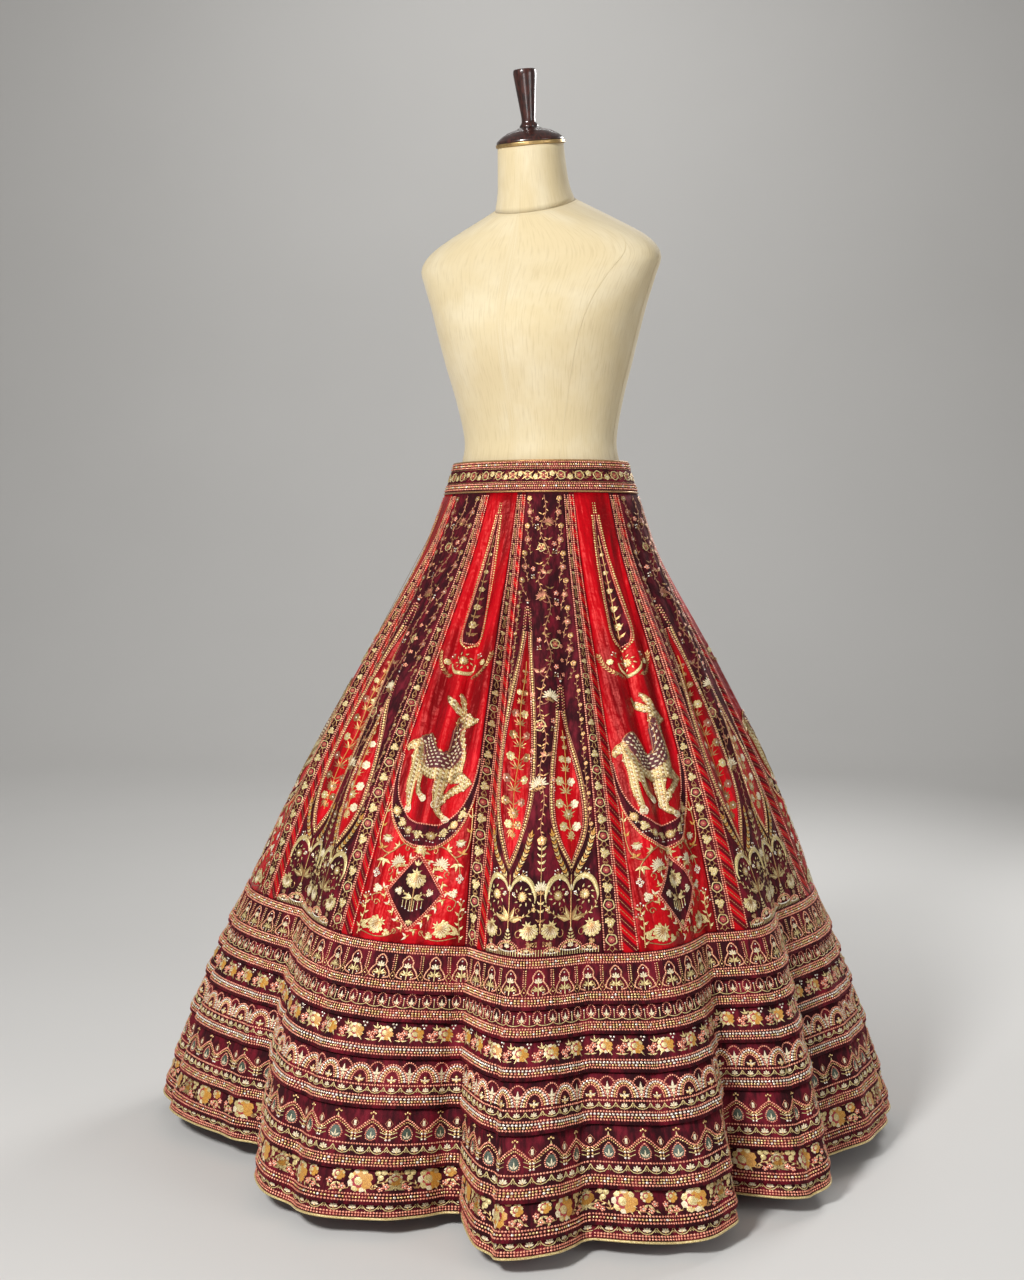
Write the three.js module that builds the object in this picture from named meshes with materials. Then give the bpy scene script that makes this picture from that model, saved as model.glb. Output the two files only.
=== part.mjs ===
// A panelled lehenga skirt worn by a limbless tailor's dress form on a plain pole stand.
// Millimetres, +Z up. The origin is the middle of the stand's underside. The skirt's front faces -Y.
import * as THREE from "three";

const DEG = Math.PI / 180;

// Seams and cloth.
const SEAM_GAP = 0.3;
const GORE_CLOTH = 2;
const BORDER_CLOTH = 2.5;
const WAISTBAND_CLOTH = 3;

// The skirt's own heights.
const WAIST_TOP = 1016;
const WAISTBAND_BOTTOM = 968;
const BORDER_TOP = 370;
const HEM = 30;

// Level sections of the skirt: half width, half depth, the oval's turn in degrees, sideways drift,
// how much lower the front hangs than the sides, and the share of the hem's folds that shows there.
const SKIRT_SECTIONS = [
  { z: 1016, across: 137, deep: 103, turn: -25, drift: 0, dip: 0, fold: 0 },
  { z: 968, across: 153, deep: 118, turn: -25, drift: 0, dip: 0, fold: 0 },
  { z: 870, across: 188, deep: 156, turn: -20, drift: -2, dip: 2, fold: 0.02 },
  { z: 715, across: 269, deep: 234, turn: -12, drift: -5, dip: 7, fold: 0.12 },
  { z: 540, across: 359, deep: 323, turn: -5, drift: -8, dip: 13, fold: 0.3 },
  { z: 370, across: 434, deep: 397, turn: -2, drift: -11, dip: 18, fold: 0.52 },
  { z: 180, across: 511, deep: 473, turn: 0, drift: -14, dip: 13, fold: 0.8 },
  { z: 30, across: 558, deep: 526, turn: 0, drift: -15, dip: 9, fold: 1 },
];

// The hem's big folds, round from the left. Angles are in degrees from the front, positive to the
// right, and each fold runs from its crest to the valley after it. Reach is a share of the section.
const FOLDS = [
  { crest: -97, out: 1.04, valley: -62, tuck: 0.8 },
  { crest: -34, out: 1.0, valley: -12, tuck: 0.86 },
  { crest: -4, out: 1.12, valley: 8, tuck: 1.01 },
  { crest: 21, out: 1.08, valley: 35, tuck: 0.87 },
  { crest: 44, out: 1.01, valley: 57, tuck: 0.88 },
  { crest: 86, out: 0.99, valley: 112, tuck: 0.84 },
  { crest: 129, out: 1.03, valley: 146, tuck: 0.89 },
  { crest: 166, out: 1.04, valley: 187, tuck: 0.85 },
  { crest: 209, out: 1.05, valley: 233, tuck: 0.83 },
];
const CREST_BREADTH = 0.62; // below 1, crests are broader than valleys

// Panels of one of the six repeats, in order to the right, as degrees of the plain waist ring.
const REPEATS = 6;
const PANELS = [
  { name: "velvet_gore", span: 25, columns: 5, cloth: "maroonVelvet" },
  { name: "rose_strip_a", span: 3.25, columns: 1, cloth: "maroonVelvet" },
  { name: "leheriya_strip_a", span: 3.25, columns: 1, cloth: "stripedSatin" },
  { name: "satin_gore", span: 22, columns: 5, cloth: "redSatin" },
  { name: "rose_strip_b", span: 3.25, columns: 1, cloth: "maroonVelvet" },
  { name: "leheriya_strip_b", span: 3.25, columns: 1, cloth: "stripedSatin" },
];
const FRONT_AXIS = 1.8; // degrees to the right of the front, where the first velvet gore is centred
const HEM_AXIS = -0.8; // where its middle line meets the hem
const GORE_ROWS = 5;

// Tiers of the velvet border: the share of its height at which each one ends.
const TIERS = [
  { name: "tier_1_arches", ends: 0.175 },
  { name: "tier_2_small_arches", ends: 0.28 },
  { name: "tier_3_roses", ends: 0.415 },
  { name: "tier_4_scallops", ends: 0.595 },
  { name: "tier_5_peaks", ends: 0.815 },
  { name: "tier_6_large_roses", ends: 0.94 },
  { name: "tier_7_hem", ends: 1 },
];

// The dress form faces a little to the left of the skirt's front.
const FORM_TURN = -25;
const TORSO_SECTIONS = [
  { z: 805, across: 152, front: 100, back: 110, lean: 0, tilt: 0 },
  { z: 870, across: 164, front: 108, back: 120, lean: 0, tilt: 0 },
  { z: 920, across: 158, front: 106, back: 114, lean: 0, tilt: 0 },
  { z: 968, across: 142, front: 102, back: 104, lean: 0, tilt: 0 },
  { z: 1016, across: 125, front: 92, back: 91, lean: 0, tilt: 0 },
  { z: 1050, across: 120, front: 88, back: 87, lean: 0, tilt: 0 },
  { z: 1110, across: 131, front: 101, back: 90, lean: -2, tilt: 0 },
  { z: 1165, across: 146, front: 120, back: 95, lean: -3, tilt: 0 },
  { z: 1210, across: 158, front: 128, back: 99, lean: -4, tilt: 0 },
  { z: 1250, across: 170, front: 119, back: 103, lean: -6, tilt: 1 },
  { z: 1290, across: 185, front: 100, back: 103, lean: -8, tilt: 3 },
  { z: 1320, across: 194, front: 86, back: 97, lean: -8, tilt: 5 },
  { z: 1345, across: 176, front: 76, back: 88, lean: -10, tilt: 8 },
  { z: 1369, across: 134, front: 68, back: 78, lean: -13, tilt: 12 },
  { z: 1389, across: 92, front: 62, back: 69, lean: -16, tilt: 17 },
  { z: 1403, across: 61, front: 57, back: 59, lean: -20, tilt: 21 },
];
const NECK_SECTIONS = [
  { z: 1403, across: 60, front: 56, back: 58, lean: -20, tilt: 21 },
  { z: 1425, across: 54, front: 52, back: 52, lean: -25, tilt: 18 },
  { z: 1455, across: 51, front: 50, back: 50, lean: -31, tilt: 15 },
  { z: 1488, across: 49, front: 48, back: 48, lean: -36, tilt: 12 },
];
const FORM_COLUMNS = 28;
const FORM_SQUARENESS = 2.1;

// Neck cap and handle.
const CAP_TILT = 12;
const CAP_LEAN = -36;
const CAP_HEIGHT = 1488;
const RIM_RADIUS = 52;
const RIM_DEPTH = 5;
const DOME_RISE = 21;
const DOME_TOP_RADIUS = 13;
const HANDLE_LENGTH = 84;

// Stand.
const BASE_RADIUS = 200;
const BASE_DEPTH = 18;
const SOCKET_TOP = 75;
const POLE_RADIUS = 16;
const UNDERPLATE_DEPTH = 12;

const MATERIALS = {
  maroonVelvet: new THREE.MeshStandardMaterial({ color: 0x4a0618, roughness: 0.85, metalness: 0 }),
  redSatin: new THREE.MeshStandardMaterial({ color: 0xb80a14, roughness: 0.35, metalness: 0 }),
  stripedSatin: new THREE.MeshStandardMaterial({ color: 0x93101c, roughness: 0.45, metalness: 0 }),
  linen: new THREE.MeshStandardMaterial({ color: 0xcdb98a, roughness: 0.8, metalness: 0 }),
  brass: new THREE.MeshStandardMaterial({ color: 0xb08d4a, roughness: 0.35, metalness: 0.9 }),
  darkWood: new THREE.MeshStandardMaterial({ color: 0x2a0f0d, roughness: 0.25, metalness: 0 }),
  steel: new THREE.MeshStandardMaterial({ color: 0x3a3a3c, roughness: 0.4, metalness: 0.8 }),
};

const part = new THREE.Group();

function addNode(parent, name, geometry, material) {
  const mesh = new THREE.Mesh(geometry, material);
  mesh.name = name;
  parent.add(mesh);
  return mesh;
}

const mix = (a, b, share) => a + (b - a) * share;

// A section at any height, eased through the rows of a table that runs down or up in z.
function sectionAt(rows, z) {
  const falling = rows[0].z > rows[rows.length - 1].z;
  const ordered = falling ? rows : [...rows].reverse();
  let i = 0;
  while (i < ordered.length - 2 && ordered[i + 1].z > z) i += 1;
  const before = ordered[Math.max(i - 1, 0)];
  const top = ordered[i];
  const bottom = ordered[i + 1];
  const after = ordered[Math.min(i + 2, ordered.length - 1)];
  const share = (top.z - z) / (top.z - bottom.z);
  const eased = {};
  for (const key of Object.keys(top)) {
    const slopeTop = before === top
      ? bottom[key] - top[key]
      : ((bottom[key] - before[key]) / (before.z - bottom.z)) * (top.z - bottom.z);
    const slopeBottom = after === bottom
      ? bottom[key] - top[key]
      : ((after[key] - top[key]) / (top.z - after.z)) * (top.z - bottom.z);
    const s2 = share * share;
    const s3 = s2 * share;
    eased[key] = (2 * s3 - 3 * s2 + 1) * top[key] + (s3 - 2 * s2 + share) * slopeTop
      + (3 * s2 - 2 * s3) * bottom[key] + (s3 - s2) * slopeBottom;
  }
  eased.z = z;
  return eased;
}

// How far out the hem reaches at an angle, as a share of the plain section.
const foldKnots = FOLDS.flatMap((f) => [
  { angle: f.crest, reach: f.out },
  { angle: f.valley, reach: f.tuck },
]);

function hemReach(degrees) {
  const first = foldKnots[0].angle;
  const angle = ((((degrees - first) % 360) + 360) % 360) + first;
  let i = foldKnots.findLastIndex((k) => k.angle <= angle);
  const from = foldKnots[i];
  const to = i + 1 < foldKnots.length ? foldKnots[i + 1] : { ...foldKnots[0], angle: first + 360 };
  const along = (angle - from.angle) / (to.angle - from.angle);
  const [crest, valley, away] = from.reach > to.reach
    ? [from.reach, to.reach, along]
    : [to.reach, from.reach, 1 - along];
  return valley + (crest - valley) * (0.5 + 0.5 * Math.cos(Math.PI * away)) ** CREST_BREADTH;
}

// A point on the plain oval ring of a section, its radius multiplied by reach.
function ringPoint(section, degrees, reach) {
  const along = (degrees - section.turn) * DEG;
  const radius = 1 / Math.hypot(Math.sin(along) / section.across, Math.cos(along) / section.deep);
  return new THREE.Vector3(
    section.drift + radius * reach * Math.sin(degrees * DEG),
    -radius * reach * Math.cos(degrees * DEG),
    section.z - section.dip * Math.max(0, Math.cos(degrees * DEG)) ** 2,
  );
}

// The hem's outline measured off along the cloth, so that equal shares of it hold equal cloth.
const HEM_STEPS = 1440;
const hemTrack = (() => {
  const section = sectionAt(SKIRT_SECTIONS, HEM);
  const track = [{ degrees: HEM_AXIS, length: 0 }];
  let last = ringPoint(section, HEM_AXIS, hemReach(HEM_AXIS));
  for (let i = 1; i <= HEM_STEPS; i += 1) {
    const degrees = HEM_AXIS + (i * 360) / HEM_STEPS;
    const point = ringPoint(section, degrees, hemReach(degrees));
    track.push({ degrees, length: track[i - 1].length + point.distanceTo(last) });
    last = point;
  }
  return track;
})();
const HEM_ROUND = hemTrack[HEM_STEPS].length;

// The hem's angle at a share of its length, where share 0 is the middle of the front velvet gore.
function hemAngle(share) {
  const turns = Math.floor(share);
  const length = (share - turns) * HEM_ROUND;
  let i = hemTrack.findIndex((t) => t.length >= length);
  if (i < 1) i = 1;
  const a = hemTrack[i - 1];
  const b = hemTrack[i];
  return turns * 360 + mix(a.degrees, b.degrees, (length - a.length) / (b.length - a.length));
}

// The skirt's outer face: share goes round the cloth to the right, z is the height.
function skirtPoint(share, z) {
  const section = sectionAt(SKIRT_SECTIONS, z);
  const plain = FRONT_AXIS + share * 360;
  const folded = hemAngle(share);
  const reach = mix(1, hemReach(folded), section.fold);
  return ringPoint(section, mix(plain, folded, section.fold), reach);
}

// The way out from the cloth. Neighbours take it at their shared seam, so their edges stay parallel.
function skirtNormal(share, z) {
  const step = 0.001;
  const round = skirtPoint(share + step, z).sub(skirtPoint(share - step, z));
  const low = Math.max(z - 1, HEM);
  const up = skirtPoint(share, low + 2).sub(skirtPoint(share, low));
  return round.cross(up).normalize();
}

// A closed wall between two grids of points: outer[row][column] and inner[row][column]. Rows run
// down, columns run to the right. Facing edges of neighbours share their diagonals, so they never cross.
function wallGeometry(outer, inner) {
  const rows = outer.length;
  const columns = outer[0].length;
  const positions = [];
  for (const grid of [outer, inner]) {
    for (const row of grid) {
      for (const p of row) positions.push(p.x, p.y, p.z);
    }
  }
  const at = (side, r, c) => side * rows * columns + r * columns + c;
  const index = [];
  const quad = (a, b, c, d) => index.push(a, b, c, a, c, d);
  for (let r = 0; r < rows - 1; r += 1) {
    for (let c = 0; c < columns - 1; c += 1) {
      quad(at(0, r, c), at(0, r + 1, c), at(0, r + 1, c + 1), at(0, r, c + 1));
      quad(at(1, r, c), at(1, r, c + 1), at(1, r + 1, c + 1), at(1, r + 1, c));
    }
  }
  for (let c = 0; c < columns - 1; c += 1) {
    quad(at(0, 0, c), at(0, 0, c + 1), at(1, 0, c + 1), at(1, 0, c));
    quad(at(0, rows - 1, c), at(1, rows - 1, c), at(1, rows - 1, c + 1), at(0, rows - 1, c + 1));
  }
  for (let r = 0; r < rows - 1; r += 1) {
    quad(at(0, r, 0), at(1, r, 0), at(1, r + 1, 0), at(0, r + 1, 0));
    quad(at(0, r, columns - 1), at(0, r + 1, columns - 1), at(1, r + 1, columns - 1), at(1, r, columns - 1));
  }
  return new THREE.BufferGeometry()
    .setAttribute("position", new THREE.Float32BufferAttribute(positions, 3))
    .setIndex(index);
}

// A cloth piece of the skirt between two heights, over a list of shares round the cloth. Its edges
// stop half a seam gap short.
function clothPiece(shares, heights, thickness) {
  const halfGap = SEAM_GAP / 2;
  const outer = [];
  const inner = [];
  heights.forEach((height, r) => {
    const z = height + (r === 0 ? -halfGap : 0) + (r === heights.length - 1 ? halfGap : 0);
    const section = sectionAt(SKIRT_SECTIONS, z);
    const trim = halfGap / (Math.PI * (section.across + section.deep));
    const outerRow = [];
    const innerRow = [];
    shares.forEach((share, c) => {
      const s = share + (c === 0 ? trim : 0) - (c === shares.length - 1 ? trim : 0);
      const point = skirtPoint(s, z);
      outerRow.push(point);
      innerRow.push(point.clone().addScaledVector(skirtNormal(share, height), -thickness));
    });
    outer.push(outerRow);
    inner.push(innerRow);
  });
  return wallGeometry(outer, inner);
}

// Shares of the cloth at which a run of panels has its columns.
function panelShares(start, panel) {
  const width = panel.span / 360;
  return Array.from({ length: panel.columns + 1 }, (_, i) => start + (width * i) / panel.columns);
}

const panelRuns = [];
for (let repeat = 0; repeat < REPEATS; repeat += 1) {
  let start = repeat / REPEATS - PANELS[0].span / 720;
  for (const panel of PANELS) {
    panelRuns.push({ name: `${panel.name}_${repeat + 1}`, panel, shares: panelShares(start, panel) });
    start += panel.span / 360;
  }
}

// Gores and strips hang from the waistband to the border.
function addPanels() {
  const heights = Array.from({ length: GORE_ROWS + 1 }, (_, i) =>
    mix(WAISTBAND_BOTTOM, BORDER_TOP, i / GORE_ROWS));
  for (const run of panelRuns) {
    addNode(part, run.name, clothPiece(run.shares, heights, GORE_CLOTH), MATERIALS[run.panel.cloth]);
  }
}

// All the columns of the panels, from the back seam round to the back seam.
const BACK_SEAM = 0.5;
const ringShares = (() => {
  const all = panelRuns.flatMap((run) => run.shares.slice(0, -1));
  const wrapped = all.map((share) => (share >= BACK_SEAM - 1e-9 ? share - 1 : share));
  wrapped.sort((a, b) => a - b);
  if (wrapped[0] > -BACK_SEAM + 1e-6) wrapped.unshift(-BACK_SEAM);
  return [...wrapped, BACK_SEAM];
})();

function addBorder() {
  let top = BORDER_TOP;
  for (const tier of TIERS) {
    const bottom = mix(BORDER_TOP, HEM, tier.ends);
    const geometry = clothPiece(ringShares, [top, bottom], BORDER_CLOTH);
    addNode(part, tier.name, geometry, MATERIALS.maroonVelvet);
    top = bottom;
  }
}

// The waistband is a front and a back piece, joined at the sides.
function addWaistband() {
  const side = 0.25;
  const within = ringShares.filter((share) => Math.abs(share) < side - 0.004);
  const frontShares = [-side, ...within, side];
  const backShares = [
    side,
    ...ringShares.filter((share) => share > side + 0.004),
    ...ringShares.filter((share) => share < -side - 0.004 && share > -BACK_SEAM).map((s) => s + 1),
    1 - side,
  ];
  const heights = [WAIST_TOP, WAISTBAND_BOTTOM];
  addNode(part, "waistband_front", clothPiece(frontShares, heights, WAISTBAND_CLOTH), MATERIALS.maroonVelvet);
  addNode(part, "waistband_back", clothPiece(backShares, heights, WAISTBAND_CLOTH), MATERIALS.maroonVelvet);
}

// A ring of the dress form: a rounded oval, deeper in front or behind, tipped towards the front.
function formRing(section) {
  return Array.from({ length: FORM_COLUMNS }, (_, i) => {
    const angle = (i * 2 * Math.PI) / FORM_COLUMNS;
    const s = Math.sin(angle);
    const c = Math.cos(angle);
    const power = 2 / FORM_SQUARENESS;
    const x = section.across * Math.sign(s) * Math.abs(s) ** power;
    const depth = c > 0 ? section.front : section.back;
    const y = -depth * Math.sign(c) * Math.abs(c) ** power;
    return new THREE.Vector3(x, y + section.lean, section.z + y * Math.tan(section.tilt * DEG));
  });
}

// A closed solid through rings of equal count, from the lowest to the highest.
function loftGeometry(rings) {
  const count = rings[0].length;
  const positions = rings.flatMap((ring) => ring.flatMap((p) => [p.x, p.y, p.z]));
  const index = [];
  for (let r = 0; r < rings.length - 1; r += 1) {
    for (let i = 0; i < count; i += 1) {
      const next = (i + 1) % count;
      const a = r * count + i;
      const b = r * count + next;
      index.push(a, b, b + count, a, b + count, a + count);
    }
  }
  const lastRing = (rings.length - 1) * count;
  for (let i = 1; i < count - 1; i += 1) {
    index.push(0, i + 1, i);
    index.push(lastRing, lastRing + i, lastRing + i + 1);
  }
  return new THREE.BufferGeometry()
    .setAttribute("position", new THREE.Float32BufferAttribute(positions, 3))
    .setIndex(index);
}

// A lathe turned about +Z from a profile of [radius, height] pairs that starts and ends on the axis.
function turned(profile, segments = 32) {
  const points = profile.map(([radius, height]) => new THREE.Vector2(radius, height));
  return new THREE.LatheGeometry(points, segments).rotateX(Math.PI / 2);
}

function addDressForm() {
  const form = new THREE.Group();
  form.rotation.z = FORM_TURN * DEG;
  part.add(form);

  const underplateTop = TORSO_SECTIONS[0].z - SEAM_GAP;
  const inset = { ...TORSO_SECTIONS[0], across: 147, front: 97, back: 107 };
  addNode(form, "form_underplate", loftGeometry([
    formRing({ ...inset, z: underplateTop - UNDERPLATE_DEPTH }),
    formRing({ ...inset, z: underplateTop }),
  ]), MATERIALS.darkWood);
  addNode(form, "form_torso", loftGeometry(TORSO_SECTIONS.map(formRing)), MATERIALS.linen);

  const neckRings = NECK_SECTIONS.map((section) => formRing({ ...section, z: section.z + SEAM_GAP }));
  addNode(form, "form_neck", loftGeometry(neckRings), MATERIALS.linen);

  const cap = new THREE.Group();
  cap.position.set(0, CAP_LEAN, CAP_HEIGHT + 2 * SEAM_GAP);
  cap.rotation.x = CAP_TILT * DEG;
  form.add(cap);
  addNode(cap, "form_neck_rim", turned([
    [0, 0],
    [RIM_RADIUS - 1.5, 0],
    [RIM_RADIUS, 1.5],
    [RIM_RADIUS, RIM_DEPTH - 1.5],
    [RIM_RADIUS - 1.5, RIM_DEPTH],
    [0, RIM_DEPTH],
  ]), MATERIALS.brass);
  const domeFoot = RIM_DEPTH + SEAM_GAP;
  addNode(cap, "form_neck_cap", turned([
    [0, domeFoot],
    [RIM_RADIUS - 1, domeFoot],
    [RIM_RADIUS - 1.5, domeFoot + 3],
    [RIM_RADIUS - 8, domeFoot + 9],
    [RIM_RADIUS - 18, domeFoot + 15],
    [RIM_RADIUS - 28, domeFoot + 18],
    [DOME_TOP_RADIUS + 4, domeFoot + DOME_RISE - 1.5],
    [DOME_TOP_RADIUS + 2, domeFoot + DOME_RISE],
    [0, domeFoot + DOME_RISE],
  ]), MATERIALS.darkWood);
  const handleFoot = domeFoot + DOME_RISE + SEAM_GAP;
  const handle = new THREE.Group();
  handle.position.set(0, 0, handleFoot);
  cap.add(handle);
  addNode(handle, "form_handle", turned([
    [0, 0],
    [DOME_TOP_RADIUS + 1, 0],
    [DOME_TOP_RADIUS + 1, 2],
    [11, 6],
    [10, 10],
    [10.5, 14],
    [13, 40],
    [16, 70],
    [17.5, HANDLE_LENGTH - 8],
    [17, HANDLE_LENGTH - 3],
    [14.5, HANDLE_LENGTH - 0.6],
    [0, HANDLE_LENGTH],
  ], 24), MATERIALS.darkWood);
}

function addStand() {
  const poleTop = TORSO_SECTIONS[0].z - 2 * SEAM_GAP - UNDERPLATE_DEPTH;
  addNode(part, "stand_base", turned([
    [0, 0],
    [BASE_RADIUS - 2, 0],
    [BASE_RADIUS, 3],
    [BASE_RADIUS, BASE_DEPTH - 8],
    [BASE_RADIUS - 8, BASE_DEPTH - 2],
    [BASE_RADIUS - 20, BASE_DEPTH],
    [0, BASE_DEPTH],
  ], 40), MATERIALS.steel);
  addNode(part, "stand_socket", turned([
    [0, BASE_DEPTH + SEAM_GAP],
    [42, BASE_DEPTH + SEAM_GAP],
    [40, BASE_DEPTH + 8],
    [26, BASE_DEPTH + 20],
    [22, SOCKET_TOP],
    [0, SOCKET_TOP],
  ], 24), MATERIALS.steel);
  addNode(part, "stand_pole", turned([
    [0, SOCKET_TOP + SEAM_GAP],
    [POLE_RADIUS, SOCKET_TOP + SEAM_GAP],
    [POLE_RADIUS, poleTop],
    [0, poleTop],
  ], 24), MATERIALS.steel);
}

addWaistband();
addPanels();
addBorder();
addDressForm();
addStand();

export default part;
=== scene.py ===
"""A panelled lehenga skirt of velvet and satin, embroidered all over, on a tailor's dress form."""

import math

import bpy
import numpy as np
from bpy.props import FloatProperty, FloatVectorProperty, PointerProperty
from bpy.types import Operator, Panel, PropertyGroup
from mathutils import Euler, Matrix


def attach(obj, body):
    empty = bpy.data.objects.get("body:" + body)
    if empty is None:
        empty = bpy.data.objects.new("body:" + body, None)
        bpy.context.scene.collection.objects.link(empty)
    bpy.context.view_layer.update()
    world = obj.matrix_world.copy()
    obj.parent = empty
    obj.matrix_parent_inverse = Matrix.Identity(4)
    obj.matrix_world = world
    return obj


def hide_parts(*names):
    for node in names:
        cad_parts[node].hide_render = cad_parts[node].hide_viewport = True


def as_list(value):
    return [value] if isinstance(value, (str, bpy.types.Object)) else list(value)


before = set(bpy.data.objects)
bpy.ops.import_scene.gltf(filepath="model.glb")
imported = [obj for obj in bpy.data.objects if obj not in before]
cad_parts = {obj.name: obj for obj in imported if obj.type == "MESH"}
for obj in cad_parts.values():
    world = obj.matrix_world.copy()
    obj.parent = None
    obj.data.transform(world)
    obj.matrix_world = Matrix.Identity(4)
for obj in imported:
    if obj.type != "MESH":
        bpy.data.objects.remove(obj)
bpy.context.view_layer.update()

bl_info = {
    "name": "Panelled Lehenga Skirt",
    "version": (1, 0, 0),
    "blender": (4, 5, 0),
    "location": "View3D > Sidebar > Lehenga",
    "description": "Embroidered velvet and satin lehenga skirt on a dress form",
    "category": "Add Mesh",
}

DEG = math.pi / 180

# The skirt's cut and hang. Lengths are in millimetres until a mesh is made.

WAIST_TOP = 1016
WAISTBAND_BOTTOM = 968
BORDER_TOP = 370
HEM = 30

# height, half width, half depth, turn, drift, front dip, share of the hem's folds
SECTIONS = np.array([
    (30, 558, 526, 0, -15, 9, 1),
    (180, 511, 473, 0, -14, 13, 0.8),
    (370, 434, 397, -2, -11, 18, 0.52),
    (540, 359, 323, -5, -8, 13, 0.3),
    (715, 269, 234, -12, -5, 7, 0.12),
    (870, 188, 156, -20, -2, 2, 0.02),
    (968, 153, 118, -25, 0, 0, 0),
    (1016, 137, 103, -25, 0, 0, 0),
], float)

# crest angle, reach there, angle of the valley after it, reach there
FOLDS = (
    (-97, 1.04, -62, 0.80),
    (-34, 1.00, -12, 0.86),
    (-4, 1.12, 8, 1.01),
    (21, 1.08, 35, 0.87),
    (44, 1.01, 57, 0.88),
    (86, 0.99, 112, 0.84),
    (129, 1.03, 146, 0.89),
    (166, 1.04, 187, 0.85),
    (209, 1.05, 233, 0.83),
)
CREST_BREADTH = 0.62
FRONT_AXIS = 1.8
HEM_AXIS = -0.8

# Soft creases: middle in degrees of cloth, height it starts, height it ends, half width in degrees
# at its foot, depth (ridges rise, troughs sink), and how far its foot leans in degrees.
CREASES = (
    (-16.5, 900, 372, 2.6, -6.5, 1.4),
    (-21, 900, 385, 3, 4.5, 1.2),
    (-26, 930, 372, 1.8, -5, -1.6),
    (-30.5, 880, 372, 2.2, 4.4, 0.4),
    (-35, 940, 372, 2, -5.5, -1.5),
    (-11, 930, 372, 1.6, 3.2, 0.8),
    (-5, 930, 380, 1.8, -3.2, -0.9),
    (1, 900, 372, 2.8, 3.4, 0.8),
    (7, 940, 372, 1.7, -3.8, 1.2),
    (13, 930, 372, 2, 3.6, 1),
    (18.5, 930, 372, 2, -5.6, 0.8),
    (24, 900, 372, 2.2, 4, 0.8),
    (29, 940, 372, 1.8, -5.2, 1.4),
    (34, 880, 390, 2.4, 4.6, -0.6),
    (39, 930, 372, 2, -4.6, 1.2),
    (45, 900, 372, 2.2, 3.6, 0.5),
    (52, 940, 372, 2.4, -5.4, 1),
    (63, 930, 385, 3, 4.2, -1.2),
    (75, 940, 372, 2.4, -5.6, 0.5),
    (84, 900, 372, 2.8, 4.6, 1),
    (96, 930, 372, 2.2, -4.8, -0.8),
    (107, 920, 380, 2.4, 4, 0.9),
    (119, 940, 372, 2.6, -5.2, 0.6),
    (131, 930, 372, 2.4, 4.6, 0.9),
    (143, 880, 372, 2.2, -5, -0.7),
    (155, 940, 372, 2.6, 4.2, 0.5),
    (166, 930, 372, 2.2, -5.4, 1),
    (178, 910, 372, 2.8, 4.4, -0.6),
    (190, 930, 372, 2.2, -5, 0.8),
    (203, 900, 380, 2.8, 4.6, 0.8),
    (215, 930, 372, 2.2, -5.2, -1),
    (227, 940, 372, 2.6, 4.2, 0.5),
    (240, 930, 372, 2.2, -5.4, 0.8),
    (254, 900, 372, 2.8, 4.4, -0.8),
    (267, 940, 372, 2.2, -5, 0.6),
    (281, 900, 372, 2.6, 4.6, 0.7),
    (294, 940, 372, 2.2, -4.8, 0.6),
    (306, 930, 385, 2.2, 4, 0.9),
    (316, 940, 372, 2, -4.8, -0.8),
    (-44, 400, 30, 2.6, -10, 1.5),
    (-36, 420, 30, 2.4, 5, -0.5),
    (-27, 380, 30, 2.2, 5, -0.8),
    (-20, 420, 30, 2, -8, -0.6),
    (-6, 360, 30, 1.6, -6.5, 0.5),
    (2, 400, 30, 2, 5, 0.8),
    (8, 330, 30, 1.6, -5.5, 0.4),
    (19, 390, 30, 2.4, -8, 0.8),
    (30, 370, 30, 2, 5, -0.6),
    (37, 350, 30, 1.8, -5, 0.4),
    (49, 400, 30, 2.4, -9, 1.2),
    (61, 380, 30, 2, -5, 0.6),
    (73, 380, 30, 3, 6, -1),
    (84, 350, 30, 2, -5.5, 0.6),
    (98, 400, 30, 2.6, -9, 1),
    (119, 350, 30, 2.4, 5.5, 0.8),
    (139, 400, 30, 2.4, -8, -0.9),
    (156, 370, 30, 2, 5, 0.7),
    (176, 400, 30, 2.6, -8.5, 1.1),
    (199, 360, 30, 2.6, 6, -0.8),
    (221, 400, 30, 2.4, -8, 0.9),
    (247, 380, 30, 2.6, 5.5, 0.6),
    (258, 360, 30, 2, -5.5, 0.6),
    (272, 400, 30, 2.8, -9, -1),
    (291, 350, 30, 2.2, 5.5, 0.8),
    (303, 380, 30, 2, -5.5, 0.8),
)

# One of the six repeats: name, degrees of the plain ring, kind of panel
REPEATS = 6
PANELS = (
    ("velvet_gore", 25, "velvet"),
    ("rose_strip_a", 3.25, "rose"),
    ("leheriya_strip_a", 3.25, "leheriya"),
    ("satin_gore", 22, "satin"),
    ("rose_strip_b", 3.25, "rose"),
    ("leheriya_strip_b", 3.25, "leheriya"),
)

# name, share of the border's height at which it starts, and at which it ends
TIERS = (
    ("tier_1_arches", 0, 0.175),
    ("tier_2_small_arches", 0.175, 0.28),
    ("tier_3_roses", 0.28, 0.415),
    ("tier_4_scallops", 0.415, 0.595),
    ("tier_5_peaks", 0.595, 0.815),
    ("tier_6_large_roses", 0.815, 0.94),
    ("tier_7_hem", 0.94, 1),
)

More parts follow.
